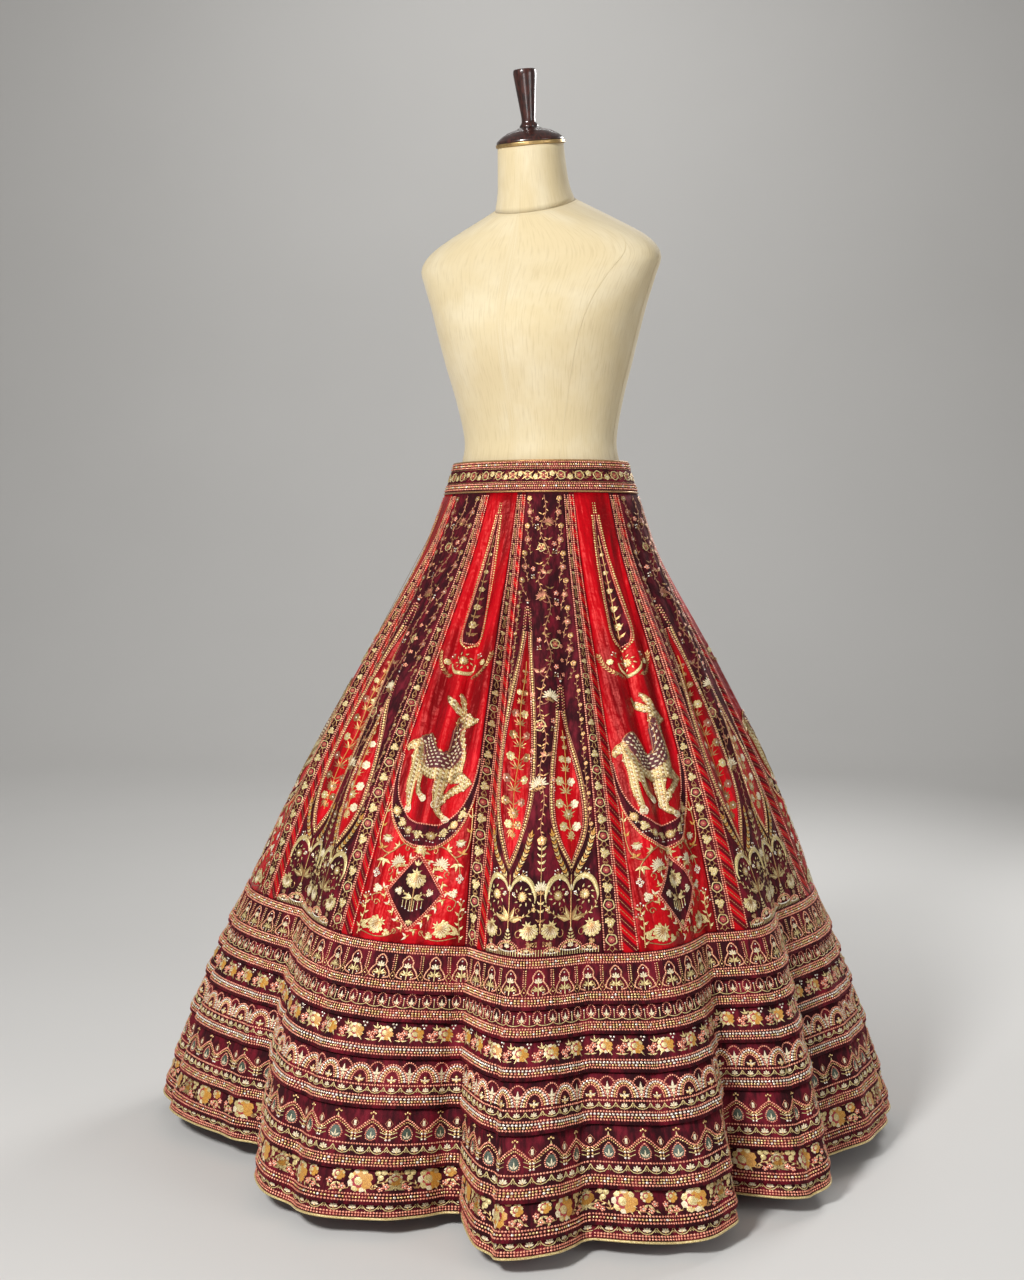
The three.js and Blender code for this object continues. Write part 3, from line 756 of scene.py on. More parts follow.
class Needlework:
    """Thread and beads laid out flat, to be set down on a panel."""

    def __init__(self):
        self.parts = []

    def stamp(self, shape, x, y, turn, length, width, height, yarn):
        x, y, turn, length, width, height = (np.ravel(v) for v in np.broadcast_arrays(
            *(np.asarray(v, float) for v in (x, y, turn, length, width, height))))
        points, faces = shape
        cos, sin = np.cos(turn * DEG)[:, None], np.sin(turn * DEG)[:, None]
        px, py = points[:, 0] * length[:, None], points[:, 1] * width[:, None]
        laid = np.stack([x[:, None] + px * cos - py * sin, y[:, None] + px * sin + py * cos,
            points[:, 2] * height[:, None] + 0.15], -1)
        tris = faces[None] + (np.arange(len(x)) * len(points))[:, None, None]
        self.parts.append((laid.reshape(-1, 3), tris.reshape(-1, 3), yarn))

    def bead(self, x, y, size=2.4, yarn="gilt"):
        turn = (np.asarray(x, float) * 37 + np.asarray(y, float) * 53) % 60
        self.stamp(BEAD, x, y, turn, size, size, np.asarray(size) * 0.62, yarn)

    def beads(self, path, pitch=3.2, size=2.7, yarn="rose"):
        """Beads along a path. Mixed ones are gold, silver and rose in no order."""
        x, y, _ = spaced(path, pitch)
        if yarn != "mixed":
            self.bead(x, y, size, yarn)
            return
        drawn = (np.arange(len(x)) * 31 + np.floor(np.arange(len(x)) / 7) * 13
            + np.floor(y * 7)).astype(int) % len(MIXED)
        for k, one in enumerate(MIXED):
            self.bead(x[drawn == k], y[drawn == k], size * (1.12 if one == "silver" else 1), one)

    def dashes(self, path, pitch=5, length=3.6, width=1.1, yarn="gold", height=0.8):
        x, y, turn = spaced(path, pitch)
        half = length / 2
        self.stamp(DASH, x - half * np.cos(turn * DEG), y - half * np.sin(turn * DEG), turn, length, width, height,
            yarn)

    def leaf(self, x, y, turn, length, width, yarn="cream", height=0.9):
        self.stamp(LEAF, x, y, turn, length, width, height, yarn)

    def petal(self, x, y, turn, length, width, yarn="cream", height=0.9):
        self.stamp(PETAL, x, y, turn, length, width, height, yarn)

    def thread(self, path, width=1, yarn="gold", height=0.6):
        """A raised thread along a path; width may change along it."""
        path = np.asarray(path, float)
        way = np.gradient(path, axis=0)
        way /= np.maximum(np.linalg.norm(way, axis=1, keepdims=True), 1e-9)
        side = np.stack([-way[:, 1], way[:, 0]], -1) * (np.broadcast_to(np.asarray(width, float), len(path))[:, None]
            / 2)
        n = len(path)
        points = np.zeros((n, 3, 3))
        points[:, 0, :2], points[:, 1, :2], points[:, 2, :2] = path + side, path, path - side
        points[:, :, 2] = 0.12
        points[:, 1, 2] += height
        k = np.arange(n - 1)[:, None, None] * 3
        tris = k + np.array([(0, 1, 4), (0, 4, 3), (1, 2, 5), (1, 5, 4)])[None]
        self.parts.append((points.reshape(-1, 3), tris.reshape(-1, 3), yarn))

    def vine(self, path, leaf=4, pitch=5, width=0.9, yarn="gold", leaves="cream"):
        """A stem with small leaves on alternate sides."""
        self.thread(path, width, yarn)
        x, y, turn = spaced(path, pitch)
        side = np.where(np.arange(len(x)) % 2 == 0, 1, -1)
        self.leaf(x, y, turn + side * 48, leaf, leaf * 0.42, leaves)

    def wheat(self, path, leaf=5, pitch=3.6, yarn="gold"):
        """A spray with leaves in pairs."""
        self.thread(path, 0.8, yarn)
        x, y, turn = spaced(path, pitch)
        for side in (1, -1):
            self.leaf(x, y, turn + side * 34, leaf, leaf * 0.4, yarn)
        self.leaf(path[-1][0], path[-1][1], turn[-1], leaf, leaf * 0.4, yarn)

    def daisy(self, x, y, radius, count=6, yarn="cream", heart="gilt", turn=0):
        angles = turn + np.arange(count) * 360 / count
        self.petal(x, y, angles, radius, radius * 5.2 / count, yarn, 0.8)
        self.bead(x, y, radius * 0.5, heart)

    def cluster(self, x, y, radius, turn=0, yarn="rose", heart="silver"):
        """A little flower of five beads round one."""
        self.bead(*away(x, y, radius * 0.62, turn + np.arange(5) * 72), radius * 0.74, yarn)
        self.bead(x, y, radius * 0.6, heart)

    def trio(self, x, y, turn, reach=7, yarn="silver"):
        """A forked twig with a white bead at each tip."""
        for spread, far in ((-32, 0.82), (0, 1), (32, 0.82)):
            tip = away(x, y, far * reach, turn + spread)
            self.thread([(x, y), tip], 0.7, "gold")
            self.bead(*tip, reach * 0.3, yarn)

    def shell(self, x, y, radius, turn=-90, yarn="ivory", cup="gold"):
        """A palmette: slender petals fanned over a cup with two small scrolls."""
        spread = np.linspace(-100, 100, 11)
        reach = radius * (1 - 0.16 * (np.arange(11) % 2))
        self.petal(x, y, turn + spread, reach, radius * 0.2, yarn, 0.9)
        for side in (-1, 1):
            foot = away(x, y, 0.5 * radius, turn + 180 + side * 48)
            self.thread(spiral(*foot, radius * 0.28, turn, side * 0.8, 9, 0.3), 0.9, cup)
        foot = away(x, y, 0.5 * radius, turn + 180)
        self.leaf(*foot, fan(turn, -50, 0, 50), radius * 0.62, radius * 0.24, cup, 1.4)

    def marigold(self, x, y, radius, turn=-90, yarn="cream"):
        """A marigold that hangs from its calyx: a frilled fan, a gold face and pale stitches."""
        down = turn + 180
        self.petal(x, y, down + np.linspace(-112, 112, 9), radius, radius * 0.46, yarn, 0.8)
        self.stamp(DISC, x, y, 0, radius * 1.35, radius * 1.35, 1.2, "gold")
        top = away(x, y, 0.5 * radius, turn)
        spread = np.linspace(-44, 44, 7)
        self.petal(*top, down + spread, radius * (1.42 - 0.005 * np.abs(spread)), radius * 0.14, "ivory", 2)
        self.leaf(*top, fan(turn, -100, -48, 0, 48, 100), radius * 0.62, radius * 0.26, yarn, 1.3)

    def sunflower(self, x, y, radius, yarn="cream", edge="gold"):
        """A full round flower: a fringe, a ring of petals and a beaded heart."""
        self.petal(x, y, np.arange(12) * 30, radius, radius * 0.42, edge, 0.6)
        self.petal(x, y, np.arange(9) * 40.0 + 12, radius * 0.78, radius * 0.4, yarn, 1.1)
        self.bead(x, y, radius * 0.5, "silver")
        self.bead(*away(x, y, radius * 0.4, np.arange(6) * 60), radius * 0.2, "gilt")

    def wreathed(self, x, y, radius, turn=0):
        """A round flower inside a ring of small leaves that point outwards."""
        self.sunflower(x, y, radius * 0.52)
        angles = turn + np.arange(9) * 40.0
        self.leaf(*away(x, y, radius * 0.66, angles), angles + 38, radius * 0.42, radius * 0.17)

    def blossom(self, x, y, radius, turn=0, yarn="cream"):
        """Two overlapping blooms and a bud, with leaves behind."""
        angle = turn * DEG
        cos, sin = math.cos(angle), math.sin(angle)
        self.leaf(x, y, fan(turn, -70, 110, 180), radius * 1.15, radius * 0.36, "gold", 0.5)
        for px, py, size in ((-0.42, -0.3, 0.72), (0.42, -0.2, 0.66), (0, 0.42, 0.78)):
            cx, cy = x + radius * (px * cos - py * sin), y + radius * (px * sin + py * cos)
            self.petal(cx, cy, np.arange(5) * 72.0 + turn, radius * size * 0.8, radius * size * 0.72, yarn, 1)
            self.bead(cx, cy, radius * size * 0.42, "silver")

    def lotus(self, x, y, radius, turn=-90, yarn="ivory"):
        self.petal(x, y, fan(turn, -66, -34, 0, 34, 66), radius * np.array([0.75, 0.92, 1, 0.92, 0.75]),
            radius * 0.34, yarn, 0.9)
        self.bead(x, y, radius * 0.34, "gilt")

    def rose(self, x, y, radius, turn=0, warm="amber"):
        """A cabbage rose: ruffled ivory on one side, a warm side, a blushed fold and a pale gold heart."""
        self.petal(x, y, fan(turn, 98, 186, 274), radius, radius * 0.74, "ivory", 0.9)
        self.petal(x, y, fan(turn, 142, 230, 318), radius, radius * 0.74, "cream", 1)
        self.petal(x, y, fan(turn, 4, 52), radius * 1.06, radius * 0.84, warm, 0.8)
        for across, size, height, yarn in ((0.04, 1.7, 1.9, warm), (-0.08, 1.45, 2.4, "pink"),
                (-0.1, 1.1, 3.3, "cream")):
            place = away(x, y, across * radius, turn)
            self.stamp(DISC, *place, turn, radius * size, radius * size * 1.15, height, yarn)
        self.leaf(*away(x, y, -0.3 * radius, turn), fan(turn, -30, 20, 70), radius * 0.5, radius * 0.18, "ivory", 3.4)

    def outline_rose(self, x, y, radius, turn=0, yarn="cream"):
        """A rose worked as an outline round a blushed fold and a gold heart."""
        angle = np.linspace(0, 360, 26)
        lobed = radius * (0.84 + 0.16 * np.abs(np.cos(2.5 * angle * DEG)))
        self.thread(np.stack(away(x, y, lobed, angle + turn), -1), radius * 0.22, yarn, 0.9)
        self.stamp(DISC, x, y, turn, radius * 1.25, radius * 1.25, 0.5, "pink")
        self.thread(spiral(x, y, radius * 0.46, turn, 1.1, 12, 0.35), radius * 0.2, "copper", 1.1)
        self.bead(x, y, radius * 0.42, "gilt")

    def swags(self, at, pitch, y, drop, yarn="cream"):
        """Hanging arcs that meet in small peaks, with a lotus in every one."""
        motif = Needlework()
        half = pitch / 2
        motif.thread([(-half, y), (-half * 0.78, y + drop * 0.52), (-half * 0.42, y + drop * 0.88), (0, y + drop),
            (half * 0.42, y + drop * 0.88), (half * 0.78, y + drop * 0.52), (half, y)], 1.2, yarn, 0.9)
        motif.lotus(0, y + drop * 0.72, drop * 0.72, -90)
        motif.thread([(half * 0.84, y + drop * 0.72), (half, y + drop * 0.42), (half * 1.16, y + drop * 0.72)], 0.9,
            yarn, 0.8)
        self.repeat(motif, at)

    def repeat(self, other, x, y=0, turn=0, size=1):
        """Other needlework set down again at one place or many."""
        x, y, turn, size = (np.ravel(v) for v in np.broadcast_arrays(*(np.asarray(v, float) for v in (x, y, turn,
            size))))
        cos, sin = np.cos(turn * DEG)[:, None] * size[:, None], np.sin(turn * DEG)[:, None] * size[:, None]
        for points, faces, yarn in other.parts:
            px, py = points[:, 0], points[:, 1]
            laid = np.stack([x[:, None] + px * cos - py * sin, y[:, None] + px * sin + py * cos,
                points[:, 2] + 0 * cos], -1)
            tris = faces[None] + (np.arange(len(x)) * len(points))[:, None, None]
            self.parts.append((laid.reshape(-1, 3), tris.reshape(-1, 3), yarn))

    def sew(self, name, ground):
        """Makes the thread and the beads as two pieces, and returns them."""
        made = []
        for suffix, yarns, slot in (("_thread", THREADS, "gold_thread"), ("_beads", BEADS, "gold_beads")):
            chosen = [part for part in self.parts if part[2] in yarns]
            if not chosen:
                continue
            used = [yarn for yarn in yarns if any(part[2] == yarn for part in chosen)]
            points, faces, picks, total = [], [], [], 0
            for part_points, part_faces, yarn in chosen:
                points.append(part_points)
                faces.append(part_faces + total)
                picks.append(np.full(len(part_faces), used.index(yarn)))
                total += len(part_points)
            flat, faces = np.concatenate(points), np.concatenate(faces)
            made.append(make_mesh(name + suffix, ground(flat[:, 0], flat[:, 1], flat[:, 2]), faces[:, ::-1], used,
                slot, np.concatenate(picks)))
        return made


def fan(middle, *spread):
    """Angles spread to both sides of a middle one."""
    return middle + np.array(spread)


class Half:
    """One side of a motif: x runs outwards from its middle line, and leaves turn outwards from straight up."""

    def __init__(self, work, side, middle):
        self.work, self.side, self.middle = work, side, middle

    def __getattr__(self, motif):
        """Any other motif of the needlework, at x outwards."""
        return lambda x, *rest: getattr(self.work, motif)(self.middle + self.side * x, *rest)

    def leaf(self, x, y, turns, *rest):
        self.work.leaf(self.middle + self.side * x, y, -90 + self.side * np.array(turns), *rest)

    def line(self, *knots, count=5):
        return curve(*((self.middle + self.side * x, y) for x, y in knots), count=count)

    def scroll(self, x, y, radius, start, turns, count, width):
        shrink = 0.25 if turns == 1 else 0.3
        path = spiral(self.middle + self.side * x, y, radius, start, self.side * turns, count, shrink)
        self.work.thread(path, width, "gold")


def halves(work, middle=0):
    return [Half(work, side, middle) for side in (-1, 1)]


def inside(x, y, outline):
    """Which points lie inside a closed outline."""
    outline = np.asarray(outline, float)
    hit = np.zeros(np.shape(x), bool)
    for (x0, y0), (x1, y1) in zip(outline, np.roll(outline, -1, 0)):
        crosses = (y0 > y) != (y1 > y)
        hit ^= crosses & (x < (x1 - x0) * (y - y0) / (y1 - y0 + 1e-12) + x0)
    return hit


# Panels: where flat work lands on the skirt, and the cloth itself.

DRAPES = {}


def drape():
    if "skirt" not in DRAPES:
        DRAPES["skirt"] = Drape(bpy.context.scene.lehenga_sizes.crease_depth)
    return DRAPES["skirt"]


def hanging_ground(middle, base=0):
    """Flat work on a panel between the waistband and the border; middle is its line as a share of the round."""
    def ground(x, y, lift):
        height = height_down(y)
        return drape().at(middle + x / around(height), height, lift + base)
    return ground


def flare(down, flare_by):
    """How far a tier stands off at a share of its depth."""
    return 0.4 + flare_by * np.clip(down, 0, 1) ** 1.6


class Tier:
    """One tier of the border: its round length, its depth, and where flat work on it lands."""

    def __init__(self, starts, ends):
        self.top, self.bottom = (BORDER_TOP + (HEM - BORDER_TOP) * share for share in (starts, ends))
        self.depth = float(length_down(self.bottom) - length_down(self.top))
        self.round = float(around((self.top + self.bottom) / 2))
        self.flare_by = bpy.context.scene.lehenga_sizes.tier_flare * 1000 * (0.5 if ends == 1 else 1)

    def ground(self, x, y, lift):
        down = y / self.depth
        height = self.top + (self.bottom - self.top) * down
        return drape().at(x / self.round, height, lift + flare(down, self.flare_by))

    def evenly(self, pitch, start=0.5, even=False):
        """Middles of motifs at about a pitch all round, and the exact pitch."""
        count = int(round(self.round / pitch))
        count += count % 2 if even else 0
        return (np.arange(count) + start) * self.round / count - self.round / 2, self.round / count

    def row(self, y):
        """A line all round at a depth."""
        return np.stack([np.linspace(-self.round / 2 + 1, self.round / 2 - 1, 900), np.full(900, float(y))], -1)


def wall(name, shares, heights, lifts, cuts, finish, slot, tuck=0):
    """A sheet of cloth with its lining, as a thin closed wall. Rows run down and columns to the right."""
    thick = bpy.context.scene.lehenga_sizes.lining_gap * 1000
    shares, heights, lifts = np.broadcast_arrays(shares, heights, lifts)
    rows, columns = shares.shape
    edge = np.zeros(columns)
    edge[[0, -1]] = tuck
    outer = drape().at(shares, heights, lifts - edge)
    inner = drape().at(shares, heights, lifts - thick - edge)
    points = np.concatenate([outer.reshape(-1, 3), inner.reshape(-1, 3)])
    count = rows * columns
    faces = [grid_faces(rows, columns, flip=False), grid_faces(rows, columns, count, flip=True)]
    top, bottom = np.arange(columns), np.arange(columns) + (rows - 1) * columns
    left, right = np.arange(rows) * columns, np.arange(rows) * columns + columns - 1
    rims = []
    for line, turned in ((top, False), (bottom, True), (left, True), (right, False)):
        a, b = line[:-1], line[1:]
        rim = np.stack([a, b, b + count, a + count], -1)
        rims.append(rim[:, ::-1] if turned else rim)
    picks = np.concatenate([np.zeros(len(faces[0])), np.ones(len(faces[1])), np.zeros(sum(len(r) for r in rims))])
    cut = np.concatenate([cuts.reshape(-1, 2)] * 2)
    return make_mesh(name, points, np.concatenate(faces + rims), [finish, "lining"], slot, picks, cut)


GORE_LENGTH = float(length_down(BORDER_TOP))


def panel_cloth(name, start, span, finish, slot, columns):
    """A gore or strip from the waistband to the border."""
    y = np.linspace(0, GORE_LENGTH, 44)[:, None]
    inner = np.linspace(0, 1, columns + 1)
    edge = 0.06 if columns > 4 else 0.12
    across = np.unique(np.concatenate([inner, [edge / 3, 1 - edge / 3]]))[None, :]
    height = height_down(y)
    height = height + np.where(y <= 0, -0.15, 0) + np.where(y >= GORE_LENGTH, 0.15, 0)
    trim = 0.15 / around(height)
    shares = start + trim + (span / 360 - 2 * trim) * across
    cuts = np.stack([(across - 0.5) * span / 360 * around(height), y + 0 * across], -1)
    return wall(name, shares, height, 0, cuts, finish, slot, tuck=1)


def trapezoid(span):
    """A gore's flat size and its area, in metres."""
    y = np.linspace(0, GORE_LENGTH, 60)
    widths = span / 360 * around(height_down(y))
    return (float(widths[-1]) / 1000, GORE_LENGTH / 1000), float(widths.mean()) * GORE_LENGTH / 1e6


def panel_places(*kinds):
    """The name, kind, start and span of each panel of some kinds, as it comes round the skirt."""
    for repeat in range(REPEATS):
        start = repeat / REPEATS - PANELS[0][1] / 720
        for name, span, kind in PANELS:
            if kind in kinds:
                yield f"{name}_{repeat + 1}", kind, start, span
            start += span / 360


def hang_panel(name, start, span, work, finish, slot, columns, lift=0.75, lay=None):
    """One gore or strip with its needlework and, from lay, its applied cloth."""
    cloth = panel_cloth(name + "_cloth", start, span, finish, slot, columns)
    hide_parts(name)
    middle = start + span / 720
    made = work.sew(name, hanging_ground(middle, lift))
    if lay:
        made += lay(name, hanging_ground(middle))
    flat, area = trapezoid(span)
    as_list(made)


def laid_patch(name, rows, ground, finish, slot, base=0.55, columns=8):
    """Applied cloth: rows of y, left x and right x, laid on a panel with its edges pressed down."""
    rows = np.asarray(rows, float)
    across = np.linspace(0, 1, columns + 1)[None, :]
    y = rows[:, :1] + 0 * across
    x = rows[:, 1:2] + (rows[:, 2:3] - rows[:, 1:2]) * across
    lift = base + 0.35 * np.sin(np.pi * across) + 0 * x
    flat = np.stack([x, y], -1)
    points = ground(x.ravel(), y.ravel(), lift.ravel())
    return make_mesh(name, points, grid_faces(len(rows), columns + 1), [finish], slot, cut=flat.reshape(-1, 2))


def spear_rows(above, below, top, tip, half, fullest=0.7, count=44):
    """A long spear that swells slowly and comes to a point; its axis leans from above to below."""
    t = np.linspace(0, 1, count)
    swell = np.where(t < fullest, np.sin(np.pi / 2 * t / fullest) ** 1.25, 1 - ((t - fullest) / (1 - fullest)) ** 1.9)
    half_width = half * np.clip(swell, 0.01, 1)
    middle = above + (below - above) * t
    return np.stack([top + (tip - top) * t, middle - half_width, middle + half_width], -1)


# What is sewn on each kind of panel.


def half_width(y, span=25):
    """Half of a panel's width at a depth."""
    return 0.5 * span / 360 * float(around(height_down(y)))


def spear_outline(rows, grow):
    """Both sides of a spear, moved out, from above its top down to its tip and up again."""
    middle = rows[:, 1:].mean(1)
    left, right = rows[:, 1] - grow, rows[:, 2] + grow
    below = rows[-1, 0] + grow * 2.1
    return np.concatenate([np.stack([left, rows[:, 0]], -1), [(middle[-1], below)],
        np.stack([right, rows[:, 0]], -1)[::-1]])


def spear_work(work, rows, flowers, stem_yarn):
    """The beaded double edge of a spear, its tall finial, and the flowering stem inside it."""
    work.beads(spear_outline(rows, 1.6), 2.9, 2.4, "rose")
    work.beads(spear_outline(rows, 4.9), 3.9, 3.7, "gilt")
    work.thread(spear_outline(rows, 7.4), 0.9, "copper", 0.6)
    top, middle = rows[0, 0], rows[0, 1:].mean()
    for k in range(9):
        y, half = top - 3 - 4.2 * k, 3.8 * (1 - k / 9) ** 0.8
        for reach, size in ((half, 2.4), (half + 2.8, 2)):
            work.bead(middle + np.array([-reach, reach]), y + (reach - half) * 0.6, size, "gilt" if k % 2 else "rose")
    work.bead(middle, top - 43, 3.2, "silver")
    work.leaf(middle, top - 45, [-140, -90, -40], [5, 7, 5], 2.2, "copper")
    y = np.linspace(rows[6, 0], rows[-1, 0] - 26, 26)
    x = np.interp(y, rows[:, 0], rows[:, 1:].mean(1)) + 1.6 * np.sin(y / 19)
    work.thread(np.stack([x, y], -1), 1, "amber", 0.8)
    for k, at in enumerate(np.arange(rows[8, 0], rows[-1, 0] - 22, 15.5)):
        centre = float(np.interp(at, y, x))
        room = float(np.interp(at, rows[:, 0], (rows[:, 2] - rows[:, 1]) / 2)) - 3.0
        if room < 2.2:
            continue
        size = min(6.6, room * 0.52)
        for side in (-1, 1):
            yarn = flowers[(k + (side > 0)) % len(flowers)]
            if k % 2 == 0:
                work.daisy(centre + side * (room - size * 0.8), at, size, 6, yarn, "silver", k * 17)
                work.leaf(centre, at + 5, -90 + side * 52, room * 0.8, 2, stem_yarn)
            else:
                work.leaf(centre, at, -90 + side * np.array([30, 62, 96]), room * np.array([0.9, 0.8, 0.6]), 2.4,
                    stem_yarn)
    tip = rows[-1, 0]
    centre = rows[-1, 1:].mean()
    work.sunflower(float(np.interp(tip - 62, rows[:, 0], rows[:, 1:].mean(1))), tip - 62, 8.2, flowers[0], "gold")
    work.leaf(centre, tip - 40, fan(90, -40, -14, 14, 40), [9, 13, 13, 9], 2.8, stem_yarn)


def velvet_gore_work():
    """A velvet gore: its meandering vine, two spears, and the sprays, crescents, marigolds and domes below them."""
    work = Needlework()
    tall = spear_rows(-25, -47, 212, 536, 21.5)
    short = spear_rows(25, 44, 330, 538, 20.5)
    spear_work(work, tall, ("gold", "copper", "cream"), "gold")
    spear_work(work, short, ("cream", "ivory"), "cream")
    # The vine from the waistband down between the spears, with a fan, a pair of leaves or a rose at every bend.
    bends = [(0, 4), (3, 30), (-6, 60), (9, 96), (-8, 134), (10, 172), (2, 214), (11, 254), (0, 292), (-5, 330),
        (4, 372), (-4, 414), (2, 456), (-2, 492), (0, 508)]
    vine = curve(*bends, count=9)
    work.vine(vine, 6, 6.2, 1.2, "copper", "gold")
    for k, (x, y) in enumerate(((-2, 46), (7, 84), (-7, 122), (9, 160), (4, 232), (8, 272), (-4, 312), (2, 352),
            (-2, 394), (1, 436))):
        side = -1 if k % 2 else 1
        reach = 9 + y / 60 if y < 320 else 7
        fx = x + side * reach
        work.thread(curve((x, y + 10), (x + side * reach * 0.6, y + 9), (fx, y + 2), count=4), 1, "copper")
        if k % 3 == 0:
            work.shell(fx, y, 8.5 + y / 80, -90 + side * 14, "copper" if y < 300 else "ivory", "gold")
        elif k % 3 == 1:
            work.outline_rose(fx, y, 5.6 + y / 160, k * 31)
            work.leaf(fx, y, [-120, -60, 20, 160], 10, 3.2, "gold", 0.5)
        else:
            for turn in (-142, -38):
                work.leaf(fx, y + 3, turn, 12, 6.4, "copper", 1)
                work.leaf(fx, y + 3, turn, 9, 2.2, "cream", 1.5)
        work.cluster(x - side * (8 + y / 90), y - 6, 4.2, k * 20)
        work.trio(x - side * (5 + y / 110), y + 9, -90 - side * 50, 7.5)
        work.leaf(x, y - 12, [-150, -30], 8, 2.8, "gold")
    # Small sprays fill the sides, beside and above the spears.
    for y in range(18, 520, 21):
        room = half_width(y)
        for side, spear in ((-1, tall), (1, short)):
            inner = room - 7.5
            clear = y < spear[0, 0] - 52
            if side == 1 and 150 < y < 286:
                inner = room - 9
            if clear:
                bend = 1 if (y // 21) % 2 else -1
                x = side * inner
                work.vine(curve((x - side * 7, y + 14), (x - side * (3 + 3 * bend), y + 3), (x, y - 8), count=4), 4.6,
                    4.4, 0.9, "copper", "gold")
                work.daisy(x - side * (1 + bend), y - 9, 4.4, 5, "copper" if bend > 0 else "gold", "silver", y)
                if room > 42:
                    work.cluster(side * (inner - 15), y + 6, 3.4, y, "rose", "gilt")
            elif room - abs(float(np.interp(y, spear[:, 0], spear[:, 1 if side < 0 else 2]))) > 13.5:
                x = side * (room - 5.6)
                work.vine(curve((x, y + 8), (x - side * 1.4, y), (x, y - 9), count=4), 4.2, 4.2, 0.8, "copper",
                    "gold")
                work.daisy(x, y - 10, 3.2, 5, "gold", "silver", y)
    # Under each tip: a V of wheat, twigs with white beads, two crescents, a trunk with broad leaves.
    for middle in (-45, 44):
        for half in halves(work, middle):
            side = half.side
            ear = half.line((5, 561), (13, 547), (23, 528), (30, 504), count=7)
            work.thread(ear, 0.9, "gold")
            x, y, turn = spaced(ear, 5.4)
            for k in range(len(x)):
                work.leaf(x[k], y[k], fan(turn[k], -32, 32), 7.2, 3, "amber" if k % 2 else "cream", 1.2)
            work.leaf(*ear[-1], turn[-1], 9, 3.4, "amber", 1.2)
            half.trio(10, 561, -90 + side * 68, 10)
            half.trio(19, 556, -90 + side * 52, 8)
            crescent = half.line((1.5, 577), (7, 565), (19, 558.5), (31, 565), (37.5, 582), (37, 592))
            swell = np.sin(np.linspace(0.2, np.pi, len(crescent))) ** 1.5
            work.thread(crescent, 1 + 6.2 * swell, "cream", 1.9)
            half.wreathed(20.5, 583, 13.5, side * 12)
            half.cluster(7, 580, 3, 10, "silver", "gilt")
            for turn, length, wide in ((24, 21, 8), (74, 24, 9)):
                half.leaf(1.5, 615, turn, length, wide, "gold", 1)
                half.leaf(2.5, 615, turn, length * 0.86, wide * 0.62, "cream", 1.6)
            work.vine(half.line((5, 608), (20, 610), (32, 602), (37, 594)), 5.4, 5, 1)
            half.scroll(15, 601, 4.6, 90, 0.9, 10, 1)
            half.scroll(17, 632, 6.2, -60, -0.85, 12, 1.2)
            half.marigold(30.5, 627, 12.6, -90 - side * 18)
            half.blossom(31, 645, 4.4, side * 20, "gold")
        work.thread(curve((middle, 556), (middle, 628), count=6), 1.8, "gold", 0.9)
        work.leaf(middle, 578, fan(-90, -24, 0, 24), [11, 14, 11], 3.2, "ivory", 1.5)
        # A pinnacle of small leaves, and three domes over a comb fringe.
        for k in range(4):
            work.leaf(middle, 643 - 4.6 * k, fan(-90, -58, 58), 8.5 - 1.6 * k, 3, "cream", 1)
        work.leaf(middle, 630, -90, 8, 3.4, "ivory", 1.2)
        for dx, y, radius in ((0, 652, 18), (-28, 656, 12), (28, 656, 12)):
            for grow, yarn in ((0, "rose"), (-3.6, "gilt")):
                work.beads(arc(middle + dx, y, radius + grow, 180, 360, 14, 0.62), 2.9, 2.4, yarn)
            work.beads(arc(middle + dx, y - 3, radius * 0.92, 20, 160, 10, 0.3), 2.7, 2.4, "silver")
            work.lotus(middle + dx, y - 2.5, radius * 0.36)
            work.cluster(middle + dx - radius * 0.5, y - 3, radius * 0.16)
            work.cluster(middle + dx + radius * 0.5, y - 3, radius * 0.16)
    x = np.arange(-half_width(656) + 4, half_width(656) - 4, 3.7)
    work.stamp(DASH, x, 659.5, -90, 8.5 - 3.5 * np.cos((np.abs(x) - 44) / 28 * np.pi) ** 2 * (np.abs(x) > 24), 1.3,
        0.9, "cream")
    # The stem between the two trees.
    work.daisy(0, 511, 6.6, 5, "gold", "silver", -18)
    work.thread([(0, 515), (0, 630)], 1.1, "gold")
    for k, y in enumerate((524, 533, 542, 551, 594, 604)):
        work.leaf(0, y, fan(-90, -48, 48), 8.5 - 0.4 * k, 3.4, "cream", 1)
    work.shell(0, 575, 12.5, -90, "ivory", "gold")
    work.leaf(0, 616, [-150, -30, 90], 8, 3.4, "gold")
    for side in (-1, 1):
        work.cluster(side * 9, 600, 3.4, 0, "gilt")
        work.trio(side * 4, 641, 90 - side * 40, 7, "gilt")
    return work, tall, short


DEER_SIZE = 1.02
